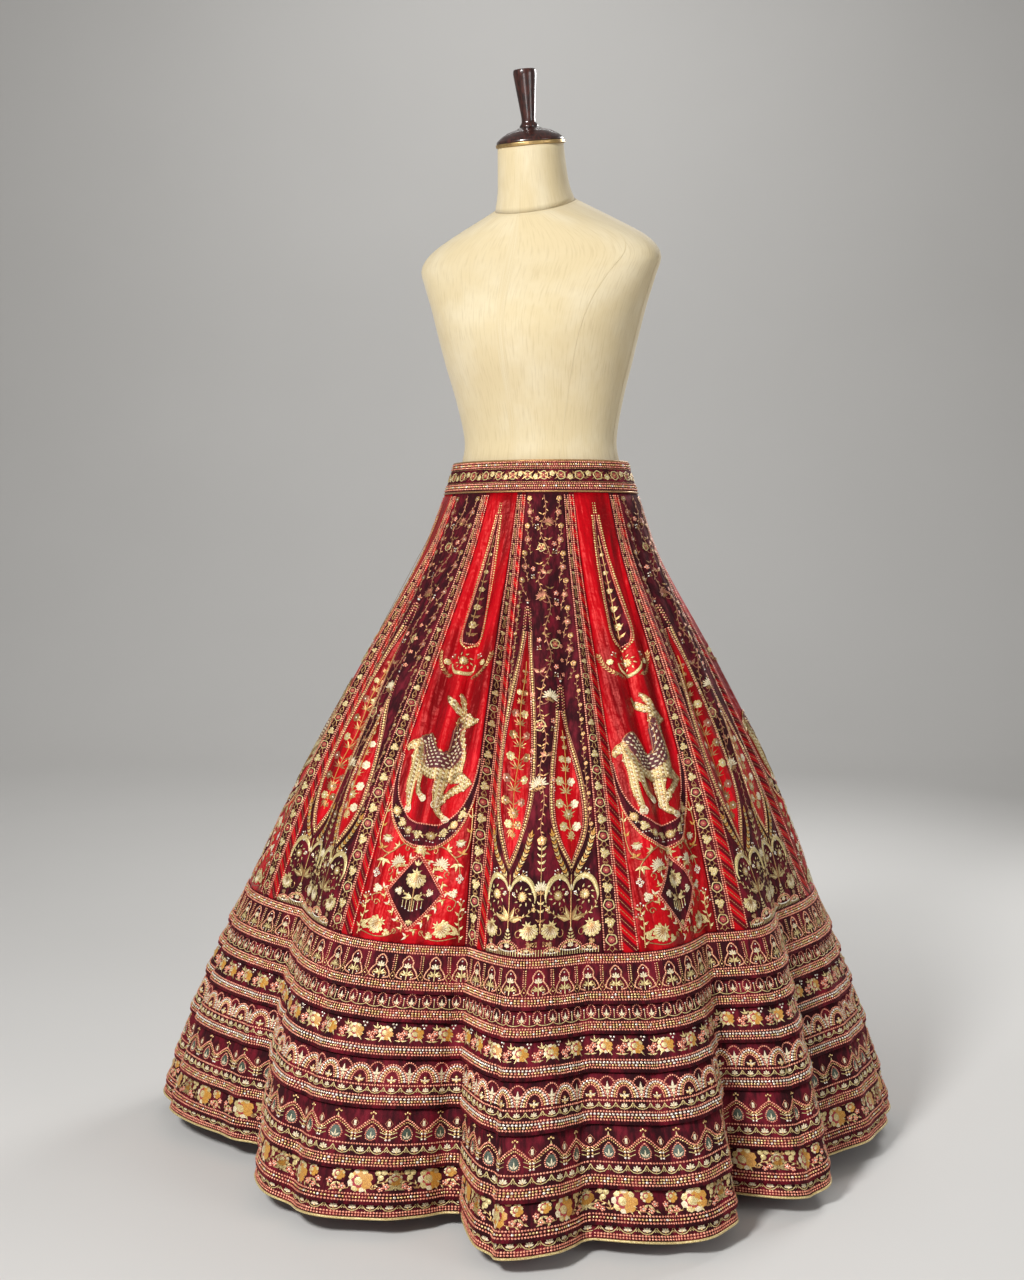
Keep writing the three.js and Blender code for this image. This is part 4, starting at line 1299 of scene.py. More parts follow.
# A deer at a prance, drawn as closed outlines round (0, 0), in millimetres. It faces right.
DEER = {
    "body": [(-38, -22), (-31, -33), (-21, -36), (-12, -27), (-3, -12), (8, -6), (20, -9), (31, -2), (39, 9),
             (38, 20), (29, 29), (13, 32), (-3, 30), (-16, 24), (-26, 12), (-34, -2)],
    "neck": [(11, -7), (17, -21), (17, -36), (15, -50), (22, -57), (29, -50), (30, -36), (35, -20), (40, -4), (38, 8),
             (22, 8)],
    "head": [(14, -50), (15, -60), (23, -66), (32, -64), (40, -58), (47, -55), (47, -51), (40, -48), (31, -45),
             (21, -44)],
    "near ear": [(18, -62), (10, -67), (-1, -78), (-5, -88), (5, -82), (15, -73), (22, -65)],
    "far ear": [(22, -64), (16, -75), (11, -90), (12, -93), (20, -83), (26, -66)],
    "tail": [(-36, -24), (-44, -22), (-51, -14), (-50, -8), (-42, -11), (-35, -14)],
    "raised leg": [(24, 24), (36, 18), (49, 26), (56, 34), (50, 42), (34, 49), (23, 55), (16, 64), (12, 60), (17, 50),
                   (29, 41), (40, 35), (34, 32), (24, 33)],
    "raised hoof": [(16, 60), (12, 57), (6, 64), (8, 70), (13, 67)],
    "standing leg": [(5, 26), (19, 29), (16, 44), (14, 60), (17, 72), (25, 79), (22, 83), (13, 77), (8, 66), (5, 46)],
    "standing hoof": [(21, 83), (24, 78), (33, 83), (32, 87), (25, 87)],
    "haunch": [(-37, -16), (-27, -20), (-19, -8), (-20, 8), (-27, 22), (-31, 36), (-30, 52), (-29, 66), (-34, 68),
               (-38, 50), (-40, 34), (-38, 16), (-41, 0)],
    "hind hoof": [(-29, 65), (-34, 66), (-36, 74), (-29, 76), (-26, 71)],
    "far leg": [(-29, 20), (-20, 19), (-19, 32), (-17, 44), (-11, 52), (-14, 56), (-21, 50), (-25, 38)],
    "far hoof": [(-12, 51), (-15, 55), (-9, 62), (-3, 60), (-5, 55)],
}
COAT = [(-34, -29), (-24, -37), (-17, -33), (-8, -19), (0, -10), (8, -6), (12, -11), (13, -24), (13, -38), (14, -48),
        (18, -56), (23, -52), (23, -40), (26, -27), (33, -13), (34, -2), (27, 7), (13, 14), (0, 16), (-12, 14),
        (-22, 6), (-28, -8), (-31, -18)]


def deer_work():
    """The deer's basket stitch, its outlines and the white spots on its coat."""
    work = Needlework()
    coat = np.array(COAT, float)
    pitch = 2.9
    for part, outline in DEER.items():
        closed = np.array(outline + outline[:1], float)
        low, high = closed.min(0), closed.max(0)
        columns, rows = np.meshgrid(np.arange(low[0] - low[0] % pitch, high[0], pitch),
            np.arange(low[1] - low[1] % pitch, high[1], pitch))
        keep = inside(columns, rows, closed) & ~inside(columns, rows, coat)
        x, y = columns[keep], rows[keep]
        if "hoof" in part:
            work.stamp(DISC, x, y, 0, 3.6, 3.6, 1, "ivory")
        else:
            way = (np.round(x / pitch) + 2 * np.round(y / pitch)) % 4
            for third, yarn in enumerate(("gold", "cream", "ivory", "cream")):
                chosen = way == third
                work.stamp(DASH, x[chosen] - 1.6 * math.cos(0.6), y[chosen] - 1.6 * math.sin(0.6), 0.6 / DEG, 3.8,
                    3.6, 1.1 + 0.2 * third, yarn)
        work.thread(curve(*closed, count=3), 1.2, "ivory" if "hoof" in part else "gold", 1.5)
    columns, rows = np.meshgrid(np.arange(-36, 36, 2.6), np.arange(-58, 18, 2.6))
    keep = inside(columns, rows, coat)
    work.stamp(DISC, columns[keep], rows[keep], 0, 4, 4, 1, "plum")
    work.thread(curve(*coat, coat[0], count=3), 1.2, "copper", 1.5)
    columns, rows = np.meshgrid(np.arange(-34, 36, 7.2), np.arange(-54, 16, 5))
    columns = columns + (np.round(rows / 5) % 2) * 3.6
    keep = inside(columns, rows, coat) & inside(columns + 2.2, rows, coat) & inside(columns - 2.2, rows, coat)
    x, y = columns[keep], rows[keep]
    slant = np.where(x < -14, 0.7, np.where(x > 14, -0.9, 0.1))
    work.stamp(DASH, x - 2.1 * np.cos(slant), y - 2.1 * np.sin(slant), slant / DEG, 4.8, 3.4, 2.1, "ivory")
    work.bead(31, -57.5, 2.6, "rose")
    work.thread(arc(31, -57.5, 3, 160, 380, 9), 0.7, "copper", 1.8)
    work.thread(curve((19, -44), (24, -42), (29, -44), count=3), 1.5, "pink", 1.9)
    return work


def drop_rows():
    """The narrow velvet drop at the top of a satin gore, round below."""
    t = np.linspace(0, 1, 34)
    half = 13.5 * np.where(t < 0.86, (t / 0.86) ** 1.1, np.sqrt(np.clip(1 - ((t - 0.86) / 0.14) ** 2, 0, 1)))
    half = np.maximum(half, 0.2)
    return np.stack([34 + 206 * t, -half, half], -1)


DIAMOND_Y = 592


def diamond_rows():
    t = np.linspace(-1, 1, 25)
    half = 37 * (1 - np.abs(t)) ** 0.94
    return np.stack([DIAMOND_Y + 47 * t, -np.maximum(half, 0.2), np.maximum(half, 0.2)], -1)


def band_edges():
    """The inner and outer edge of the velvet crescent that the deer stands in."""
    t = np.linspace(-1, 1, 49) * np.pi / 2
    rise = np.cos(t)
    inner = np.stack([58.5 * np.sin(t), 404 + 96 * rise ** 0.66], -1)
    outer = np.stack([64 * np.sin(t), 402 + 128 * rise ** 0.6], -1)
    return inner, outer


def satin_gore_work():
    """What is sewn on a satin gore round its applied velvet."""
    work = Needlework()
    drop = drop_rows()
    for grow, size, yarn in ((1.6, 2.3, "rose"), (4.6, 3.2, "gilt")):
        work.beads(spear_outline(drop[:-1], grow), size * 1.18, size, yarn)
    for k in range(5):
        work.bead([-1.6, 1.6], 31 - 3.6 * k, 2.6 - 0.2 * k, "gilt")
    work.thread([(0, 66), (0, 226)], 1, "gold")
    for k, y in enumerate(range(84, 226, 14)):
        room = 1.5 + (y - 40) * 0.055
        work.leaf(0, y, fan(-90, -50, 50), room, room * 0.4, "gold")
        if k % 2:
            work.daisy(0, y - 3, room * 0.52, 6, "cream", "silver", k * 20)
    # A crescent holds a round flower, with twigs at its horns.
    work.thread(arc(0, 262, 19, 8, 172, 22), 0.8 + 4.4 * np.sin(np.linspace(0.1, np.pi - 0.1, 22)), "cream", 1.5)
    work.wreathed(0, 262, 13)
    for half in halves(work):
        work.wheat(half.line((12, 284), (26, 280), (38, 266), (42, 250)), 6, 4.6, "gold")
        half.trio(20, 256, -90 + half.side * 25, 8)
        half.daisy(30, 262, 4.6, 6, "cream", "silver")
    work.repeat(deer_work(), -4, 405, 0, DEER_SIZE)
    # The crescent band's vine, between its beaded edges.
    inner, outer = band_edges()
    for path in (inner, outer):
        work.beads(path, 3.2, 2.7)
    work.beads(outer[4:-4] + (0, 3.4), 3.2, 2.4, "gilt")
    middle = ((inner + outer) / 2)[8:-8]
    work.vine(middle, 5.5, 5.5, 1.1)
    x, y, _ = spaced(middle, 17)
    for k in range(len(x)):
        if k % 2:
            work.blossom(x[k], y[k], 6.4, k * 40)
        else:
            work.sunflower(x[k], y[k], 6.2)
        work.bead(x[k] + np.array([-4, 0, 4]), y[k] + 8, 1.8, "silver")
    work.repeat(diamond_work(), 0, DIAMOND_Y)
    return work


def diamond_work():
    """The velvet diamond's border of leaves, its marigold over a comb, and the scrolls and sprays round it."""
    work = Needlework()
    rows = diamond_rows() - (DIAMOND_Y, 0, 0)
    sides = np.concatenate([rows[:, [2, 0]], rows[::-1][:, [1, 0]]])
    for grow, size in ((1.04, 2.5), (1.13, 2.9)):
        work.beads(sides * grow, size * 1.2, size)
    x, y, turn = spaced(sides * 1.27, 13.5)
    for k in range(len(x)):
        work.leaf(x[k], y[k], fan(turn[k], -38, 38), 8.2, 3.4, "ivory" if k % 2 else "cream", 1)
        work.bead(x[k], y[k], 2.4, "gilt")
        work.leaf(x[k], y[k], turn[k] + 180 + 40 * (-1) ** k, 4.6, 2, "amber", 0.9)
    work.thread([(0, 26), (0, -20)], 1.5, "gold")
    work.marigold(0, -18, 13.5, -90)
    work.leaf(0, -35, fan(-90, -34, 0, 34), 9, 3.2, "cream")
    for dx in (-12.5, -7.5, -2.5, 2.5, 7.5, 12.5):
        foot = 26 - abs(dx) * 0.5
        work.thread([(dx, 11), (dx, foot)], 0.9, "cream")
        work.bead(dx, foot, 2.2, "silver")
    work.lotus(0, 38, 7, 90, "cream")
    work.daisy(0, -57, 6.4, 6, "cream", "silver")
    for half in halves(work):
        side = half.side
        half.leaf(1, 8, (60, 92), 14, 5.4, "cream", 1.2)
        work.vine(half.line((4, 6), (12, 1), (19, 2), count=4), 4.6, 4, 0.9)
        half.blossom(21, -1, 5.6, side * 30, "ivory")
        # A great scroll from the diamond's top out and up along the edge.
        scroll = half.line((9, -58), (22, -65), (36, -60), (50, -50), (62, -58), (66, -74), (65, -96), (62, -118),
            count=6)
        work.thread(scroll, 1.7, "gold", 1)
        half.leaf(64, -84, (-40, 30), 8, 3.2, "amber", 1)
        half.leaf(63, -104, (-40, 30), 7, 3, "cream", 1)
        half.leaf(36, -60, (10, 60, 110), 9, 3.6, "cream", 1.1)
        half.leaf(58, -55, (-60, 30, 90), 8, 3.2, "amber", 1.1)
        half.shell(31, -38, 13, -90 + side * 20, "ivory", "cream")
        half.shell(54, -70, 7.5, 90, "ivory", "cream")
        work.thread(half.line((44, -54), (55, -42), (60, -26)), 1.4, "gold")
        work.leaf(side * 53, -41, 90 - side * np.array([-60, 0, 70]), 11, 4.6, "cream", 1.2)
        for dx, dy in ((0, 0), (4.4, 3.6), (-4, 4.4), (0.5, 8)):
            half.cluster(60 + dx * 0.7, -25 + dy, 2.7, 0, "silver", "gilt")
        half.scroll(42, -27, 5.4, 90, 0.9, 12, 1.2)
        half.scroll(19, -58, 4.4, -90, 0.9, 12, 1.3)
        # A bud and scrolls beside the diamond's point.
        half.blossom(54, -1, 6.6, side * 90, "ivory")
        work.thread(half.line((48, 4), (59, 9), (58, 17)), 1.4, "gold")
        half.scroll(52, 18, 5, 0, 1, 14, 1.3)
        # A spray in the corner.
        work.vine(half.line((71, 64), (69, 48), (66, 30), (68, 12), count=7), 8, 7, 1.4)
        half.trio(67, 15, -90 - side * 10, 9)
        half.trio(70, 28, -90 + side * 8, 8)
        half.marigold(45, 47, 13, -90 - side * 60)
        half.leaf(68, 52, (-92, -48), [15, 18], 6.5, "cream", 1.3)
        work.thread(half.line((66, 58), (44, 63), (26, 60), (18, 52), count=6), 1.3, "gold")
        half.scroll(19, 53, 4, 90, 0.9, 10, 1.2)
        half.blossom(29, 57, 5.4, 40, "cream")
    return work


def band_patch(name, ground):
    """The velvet crescent, as a strip between its two edges."""
    inner, outer = band_edges()
    across = np.linspace(0, 1, 7)[:, None, None]
    flat = inner[None] + (outer - inner)[None] * across
    lift = 0.55 + 0.3 * np.sin(np.pi * across[..., 0]) + 0 * flat[..., 0]
    points = ground(flat[..., 0].ravel(), flat[..., 1].ravel(), lift.ravel())
    return make_mesh(name, points, grid_faces(7, flat.shape[1]), ["velvet"], "maroon_velvet", cut=flat.reshape(-1, 2))


def edge_beads(work, span, inset=1.6, pitch=3.2, size=2.6):
    """A beaded line down both sides of a strip or gore."""
    y = np.linspace(3, GORE_LENGTH - 3, 200)
    half = 0.5 * span / 360 * around(height_down(y)) - inset
    for side in (-1, 1):
        work.beads(np.stack([side * half, y], -1), pitch, size)


def rose_strip_work():
    work = Needlework()
    edge_beads(work, 3.25)
    for k, y in enumerate(np.arange(11, GORE_LENGTH - 6, 22.6)):
        room = half_width(y, 3.25) - 3.0
        size = min(1, room / 7.2)
        if k % 2 == 0:
            work.outline_rose(0, y, 7.4 * size, k * 37)
        else:
            work.blossom(0, y, 7.0 * size, k * 40 % 90, "cream")
        for side in (-1, 1):
            work.thread(curve((0, y + 6 * size), (side * 3.4 * size, y + 11.3), (0, y + 16), count=3), 0.8, "gold")
            work.leaf(side * 2.6 * size, y + 11.3, 90 - side * 62 * (-1) ** k, 5.4 * size, 2.2 * size, "gold")
    return work


def leheriya_work():
    work = Needlework()
    edge_beads(work, 3.25)
    slope = 1.05
    for y in np.arange(0, GORE_LENGTH + 12, 12.5):
        half = half_width(min(y, GORE_LENGTH), 3.25) - 3
        ends = np.array([(-half, y - half * slope), (half, y + half * slope)])
        if ends[0, 1] > 1 and ends[1, 1] < GORE_LENGTH - 1:
            work.dashes(ends, 3.6, 2.6, 1.2, "gold", 0.8)
    return work


def braid(work, tier, top, bottom, inner="mixed"):
    """Four rows of beads all round, rose outside and brighter inside, between two depths of a tier."""
    rows = 4 if bottom - top > 12.5 else 3
    step = (bottom - top) / rows
    for k in range(rows):
        y = top + step * (k + 0.5)
        if k in (0, rows - 1):
            work.beads(tier.row(y), 3.5, 2.9, "rose")
        elif inner == "silver" and k == 1:
            work.beads(tier.row(y), 4.4, 3.4, "silver")
        else:
            work.beads(tier.row(y), 3.9, 3, "mixed")


def tier_1_work(work, tier, deep):
    braid(work, tier, deep * 0.01, deep * 0.215)
    braid(work, tier, deep * 0.775, deep * 0.985)
    at, pitch = tier.evenly(36)
    half, top, foot = pitch / 2, deep * 0.235, deep * 0.765
    tall = foot - top
    motif = Needlework()
    arch = curve((-half * 0.28, foot - 1), (-half * 0.74, foot - tall * 0.12), (-half * 0.62, foot - tall * 0.36),
        (-half * 0.36, foot - tall * 0.56), (-half * 0.4, foot - tall * 0.74), (0, top + 1),
        (half * 0.4, foot - tall * 0.74), (half * 0.36, foot - tall * 0.56), (half * 0.62, foot - tall * 0.36),
        (half * 0.74, foot - tall * 0.12), (half * 0.28, foot - 1), count=3)
    motif.beads(arch, 2.7, 2.6, "rose")
    motif.thread(arch, 1.2, "cream", 0.7)
    motif.thread([(0, foot), (0, foot - tall * 0.5)], 1.3, "cream", 0.9)
    motif.lotus(0, foot - tall * 0.48, 7.6, -90, "ivory")
    motif.bead(0, top + tall * 0.17, 2.4, "silver")
    for side in (-1, 1):
        motif.thread(curve((0, foot - tall * 0.14), (side * 5.2, foot - tall * 0.34), (side * 8.8, foot - tall * 0.2),
            (side * 6.4, foot - tall * 0.1), count=4), 1.2, "gold")
        motif.leaf(side * 1, foot - tall * 0.2, -90 + side * np.array([34, 78]), 8.4, 3.6, "cream", 1.1)
        motif.bead(side * 6.6, foot - tall * 0.12, 2.4, "silver")
        motif.thread([(half, foot - tall * 0.34), (half - side * 4, foot - tall * 0.12), (half - side * 1.4, foot)],
            1, "gold")
    motif.beads([(half - 1.5, top), (half - 1.5, foot - tall * 0.34)], 2.7, 2, "rose")
    motif.beads([(half + 1.5, top), (half + 1.5, foot - tall * 0.34)], 2.7, 2, "gilt")
    motif.bead(half, foot - tall * 0.14, 2.4, "gilt")
    work.repeat(motif, at)


def tier_2_work(work, tier, deep):
    braid(work, tier, deep * 0.64, deep * 0.98)
    at, pitch = tier.evenly(19.4)
    half, top, foot = pitch / 2, deep * 0.07, deep * 0.5
    motif = Needlework()
    middle, rise = (top + foot) / 2 + 0.6, (foot - top) / 2
    oval = np.stack([5.6 * np.sin(np.linspace(-0.86, 0.86, 13) * np.pi),
        middle - rise * np.cos(np.linspace(-0.86, 0.86, 13) * np.pi)], -1)
    motif.beads(oval, 2.5, 2.3, "rose")
    motif.leaf(0, foot - 1.6, fan(-90, -42, 0, 42), [5.6, 9.5, 5.6], 2.9, "ivory", 1.1)
    motif.bead(0, foot - 3, 1.9, "gilt")
    motif.thread([(half, foot + 1.5), (half, middle - 1)], 0.9, "cream")
    motif.bead(half, middle - 2, 2.3, "silver")
    motif.thread(arc(half, foot - 1, half, 0, 180, 8, 0.46), 1.2, "cream", 0.9)
    motif.bead(0, foot + 1, 2.1, "rose")
    work.repeat(motif, at)


def tier_3_work(work, tier, deep):
    braid(work, tier, deep * 0.70, deep * 0.985, "silver")
    at, pitch = tier.evenly(39, even=True)
    middle = deep * 0.37
    for odd in (0, 1):
        motif = Needlework()
        motif.leaf(0, middle, [-128, 52, 118, 150, 20], [13, 16, 15, 14, 12], 4.2, "cream", 0.7)
        motif.rose(0, middle, 10, -20 + 28 * odd)
        side = -pitch / 2 + 2
        for dx, dy, r in ((-3.2, 2.5, 4.4), (3.6, -0.5, 4.6), (0.5, 7, 3.6)):
            motif.cluster(side + dx, middle + dy, r, dx * 9)
        for dx, dy in ((-2, -2.6), (2.2, -2.2), (0, 1.8)):
            motif.bead(pitch * 0.27 + dx, middle - 9.6 + dy, 3, "silver")
        motif.leaf(side + 6, middle - 5, [-148, -100, -50], [8, 9, 6], 2.6, "cream", 1)
        motif.leaf(side, middle + 11, [-10, -170], 8, 2.6, "cream")
        work.repeat(motif, at[odd::2])


def tier_4_work(work, tier, deep):
    braid(work, tier, deep * 0.775, deep * 0.99, "silver")
    at, pitch = tier.evenly(40.5)
    foot, top = deep * 0.555, deep * 0.12
    tall = foot - top
    motif = Needlework()
    for share, yarn, size in ((1, "rose", 2.8), (0.845, "silver", 3.4), (0.68, "gilt", 3.1), (0.53, "rose", 2.4)):
        reach = pitch * 0.455 * share
        motif.beads(arc(0, foot, reach, -176, -4, 22, tall * (0.28 + 0.62 * share) / reach), size * 1.1, size, yarn)
    for dx, dy in ((0, -8.5), (-3.6, -4), (3.6, -4), (0, -1.8)):
        motif.bead(dx, foot + dy, 3.8, "gilt")
    motif.leaf(0, foot - 3, [-150, -90, -30], 7.5, 2.8, "ivory", 1.9)
    behind = arc(pitch / 2, foot - tall * 0.4, pitch * 0.27, -172, -8, 14, tall * 0.6 / (pitch * 0.27))
    motif.beads(behind, 2.8, 2.6, "rose")
    motif.leaf(pitch / 2, foot - tall * 0.42, [-148, -90, -32], [7, 10.5, 7], 3.4, "ivory", 1.1)
    motif.leaf(pitch / 2, foot - tall * 0.42, [70, 110], 6.5, 2.4, "ivory", 1)
    motif.thread([(pitch / 2, foot), (pitch / 2, foot - tall * 0.4)], 1.1, "cream")
    motif.bead(pitch / 2, foot - tall * 0.2, 2.8, "silver")
    work.repeat(motif, at)
    work.beads(tier.row(foot + 2.2), 3.4, 3)
    small, width = tier.evenly(20.2)
    work.swags(small, width, foot + 4.6, deep * 0.75 - foot - 4.6)


def tier_5_work(work, tier, deep):
    braid(work, tier, deep * 0.815, deep * 0.99)
    at, pitch = tier.evenly(42)
    half, top, foot = pitch / 2, deep * 0.21, deep * 0.60
    tall = foot - top
    motif = Needlework()
    roof = np.array([(-half, top + tall * 0.52), (-half * 0.72, top + tall * 0.4), (-half * 0.36, top + tall * 0.16),
        (0, top), (half * 0.36, top + tall * 0.16), (half * 0.72, top + tall * 0.4), (half, top + tall * 0.52)])
    motif.beads(roof, 2.9, 2.8, "rose")
    motif.beads(roof + (0, 3.6), 2.9, 2.2, "gilt")
    for k in range(2):
        y = top + tall * (0.66 + 0.17 * k)
        for side in (-1, 1):
            motif.thread([(side * half * 0.9, y), (side * half * 0.52, y - 3.4)], 1.1, "cream", 0.9)
    middle = top + tall * 0.64
    drop = np.array([(0, middle - 11.5), (4.4, middle - 6.2), (7.2, middle), (5.6, middle + 6), (0, middle + 8.6),
        (-5.6, middle + 6), (-7.2, middle), (-4.4, middle - 6.2), (0, middle - 11.5)])
    motif.stamp(PETAL, 0, middle + 6.5, -90, 15, 15, 0.5, "sage")
    motif.stamp(DISC, 0, middle + 1, 0, 13, 14, 0.7, "sage")
    motif.beads(drop, 2.6, 2.2, "rose")
    motif.leaf(0, middle + 6, fan(-90, -44, 0, 44), [7.5, 11.5, 7.5], 3, "ivory", 1.8)
    for angle in (-150, -90, -30):
        motif.bead(3.2 * math.cos(angle * DEG), top - 5.4 + 3.2 * math.sin(angle * DEG), 2.9, "gilt")
    motif.leaf(0, top + 1, -90, 6, 2.4, "cream")
    y = top + tall * 0.2
    motif.thread([(half, y - 6.6), (half + 4.6, y), (half, y + 6.6), (half - 4.6, y), (half, y - 6.6)], 1.1, "copper",
        0.9)
    motif.stamp(DASH, half, y - 3.4, 90, 6.8, 3.8, 1.6, "ivory")
    for k in range(4):
        motif.bead(half + np.array([-2, 2]), y + 9.6 + 3.7 * k, 3.1, "silver" if k % 2 else "gilt")
    work.repeat(motif, at)
    work.beads(tier.row(foot + 2), 3.4, 2.9)
    small, width = tier.evenly(21)
    work.swags(small, width, foot + 5, deep * 0.79 - foot - 5.4)


def tier_6_work(work, tier, deep):
    braid(work, tier, deep * 0.715, deep * 0.99)
    at, pitch = tier.evenly(86, even=True)
    middle = deep * 0.36
    for odd in (0, 1):
        motif = Needlework()
        s = -1 if odd else 1
        motif.leaf(0, middle, [-105, -75, 60, 30, 145], [19, 19, 20, 17, 17], 5.6, "cream", 0.7)
        motif.leaf(0, middle - 12, fan(-90, -34, 0, 34), 10, 4, "cream", 1)
        motif.rose(0, middle + 1, 15.2, -25 + 20 * odd)
        # An upright bud on its stem, half way to the next large rose.
        far = s * pitch / 2
        motif.rose(far, middle - 1, 8.4, 60)
        motif.thread([(far, middle + 6), (far, middle + 13)], 1.6, "cream")
        motif.leaf(far, middle + 9, [-158, -22, 160, 20], 12, 4, "cream", 1)
        motif.leaf(far, middle - 8, fan(-90, -30, 0, 30), 6.5, 2.6, "cream", 1)
        # A tilted rose at one side, balls of ivory at the other, and beaded sprays.
        motif.rose(s * -26, middle - 6, 7.6, 20)
        motif.leaf(s * -27, middle + 4, [40, 140], 9, 3.4, "cream", 0.9)
        for dx, dy in ((21, -9), (28, -10), (24.5, -3)):
            motif.stamp(DISC, s * dx, middle + dy, 0, 7.4, 7.4, 1.6, "cream")
            motif.bead(s * dx, middle + dy, 2.4, "silver")
        for dx, dy, r in ((-21, 9, 4.6), (-30, 11, 4), (-35, 3, 4.2), (31, 8, 4.4), (25, 11.5, 3.6)):
            motif.cluster(s * dx, middle + dy, r, dx * 7)
        motif.vine(curve((s * 15, middle + 8), (s * 22, middle + 4), (s * 33, middle + 1), count=5), 6, 5, 1.1)
        motif.vine(curve((s * -13, middle + 11), (s * -25, middle + 13), (s * -37, middle + 10), count=5), 6, 5, 1.1)
        for dx, dy in ((-16, -11), (35, -7), (16, 12)):
            motif.leaf(s * dx, middle + dy, [-150, -90, -30], 6, 2.4, "gold", 0.8)
        work.repeat(motif, at[odd::2])


def tier_7_work(work, tier, deep):
    at, pitch = tier.evenly(21.5)
    work.swags(at, pitch, deep * 0.06, deep * 0.44)
    work.beads(tier.row(deep * 0.60), 3.6, 3.2, "rose")
    work.beads(tier.row(deep * 0.76), 3.6, 2.8, "rose")


TIER_WORK = (tier_1_work, tier_2_work, tier_3_work, tier_4_work, tier_5_work, tier_6_work, tier_7_work)


def waistband_work(round_length):
    """The band's beaded lines and its row of roses, over half the round."""
    work = Needlework()
    half = round_length / 2 - 1
    def row(y):
        return np.array([(-half, y), (half, y)], float)
    for y, size, yarn in ((3, 2.6, "rose"), (6.6, 3, "mixed"), (10, 2.4, "rose"), (35, 2.4, "rose"),
            (38.4, 3, "mixed"), (42, 2.6, "rose")):
        work.beads(row(y), size * 1.22, size, yarn)
    for y in (12.6, 32.6):
        work.dashes(row(y), 4, 3.4, 1, "gold")
    count = int(round(round_length / 27))
    pitch = round_length / count
    for k in range(count):
        x = (k + 0.5) * pitch - round_length / 2
        work.outline_rose(x, 22.6, 6.4, k * 41)
        work.leaf(x, 22.6, [-150, -30, 30, 150], 12, 3.4, "gold", 0.5)
        work.daisy(x + pitch / 2, 22.6 + 2.4 * (-1) ** k, 4.4, 5, "cream", "silver", k * 30)
        work.vine(curve((x + 7, 27), (x + pitch / 2, 22.6), (x + pitch - 7, 18), count=4), 4.4, 5, 0.9, "gold",
            "gold")
    return work


def cord_round(name, height, radius, lift, finish, slot, low=-0.5, high=0.5, sides=6, steps=480):
    """A piped edge: a tube that follows the cloth round at one height."""
    share = np.linspace(low, high, steps + 1)
    middle = drape().at(share, height, lift)
    out = drape().at(share, height, lift + 1) - middle
    way = np.gradient(middle, axis=0)
    way /= np.linalg.norm(way, axis=1, keepdims=True)
    side = np.cross(way, out)
    side /= np.linalg.norm(side, axis=1, keepdims=True)
    out = np.cross(side, way)
    angle = (np.arange(sides) * 2 * np.pi / sides)[None, :, None]
    points = middle[:, None] + radius * (out[:, None] * np.cos(angle) + side[:, None] * np.sin(angle))
    return make_mesh(name, points.reshape(-1, 3), tube_faces(len(share), sides), [finish], slot)


# The dress form.


def form_points(rows, degrees, height, lift=0):
    """Points of the form's torso or neck; degrees run from its front towards its left side."""
    section = eased(rows, height)
    across, front, back, lean, tilt = (section[..., k] for k in range(5))
    power = 2 / FORM_SQUARENESS
    s, c = np.sin(degrees * DEG), np.cos(degrees * DEG)
    spread = 1 + lift / 120
    x = across * spread * np.sign(s) * np.abs(s) ** power
    y = -np.where(c > 0, front, back) * spread * np.sign(c) * np.abs(c) ** power
    z = height + y * np.tan(tilt * DEG)
    y = y + lean
    turn = FORM_TURN * DEG
    return np.stack([x * math.cos(turn) - y * math.sin(turn), x * math.sin(turn) + y * math.cos(turn), z + 0 * x], -1)


def form_skin(name, rows, count, node, columns=88):
    """The linen cover of the torso or neck, closed above and below."""
    degrees = (np.arange(columns) * 360 / columns)[None, :]
    height = np.linspace(rows[0, 0], rows[-1, 0], count)[:, None]
    points = form_points(rows, degrees + 0 * height, height + 0 * degrees)
    flat = np.stack([degrees / 360 * 880 + 0 * height, -height + 0 * degrees], -1).reshape(-1, 2)
    ends = np.array([points[0].mean(0), points[-1].mean(0)])
    tris = halved(grid_faces(count, columns, closed=True, flip=True))
    n = count * columns
    k = np.arange(columns)
    after = (k + 1) % columns
    low = np.stack([np.full(columns, n), after, k], -1)
    high = np.stack([np.full(columns, n + 1), (count - 1) * columns + k, (count - 1) * columns + after], -1)
    cut = np.concatenate([flat, [(0, 0), (0, 0)]])
    piece = make_mesh(name, np.concatenate([points.reshape(-1, 3), ends]), np.concatenate([tris, low, high]),
        ["linen"], "linen", cut=cut)
    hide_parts(node)
    return piece


def turned_piece(name, profile, finish, slot, place, node, segments=72):
    """A turned piece: a profile of radius and height, smoothed, on a leaning axis."""
    profile = np.asarray(profile, float)
    angle = np.arange(segments) * 2 * np.pi / segments
    local = np.stack([profile[:, :1] * np.cos(angle), profile[:, :1] * np.sin(angle), profile[:, 1:] + 0 * angle],
        -1).reshape(-1, 3)
    piece = make_mesh(name, place(local), tube_faces(len(profile), segments, flip=True), [finish], slot)
    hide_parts(node)
    return piece


def rounded(*corners, count=5):
    """A profile with its corners rounded: each corner is radius, height and how far the round reaches."""
    out = [corners[0][:2]]
    for before, here, after in zip(corners, corners[1:], corners[2:]):
        p, reach = np.array(here[:2], float), here[2]
        a, b = (np.array(q[:2], float) - p for q in (before, after))
        a, b = p + a / np.linalg.norm(a) * reach, p + b / np.linalg.norm(b) * reach
        for t in np.linspace(0, 1, count):
            out.append(tuple((1 - t) ** 2 * a + 2 * t * (1 - t) * p + t**2 * b))
    out.append(corners[-1][:2])
    return out


# Operators: one for each piece or group of like pieces.


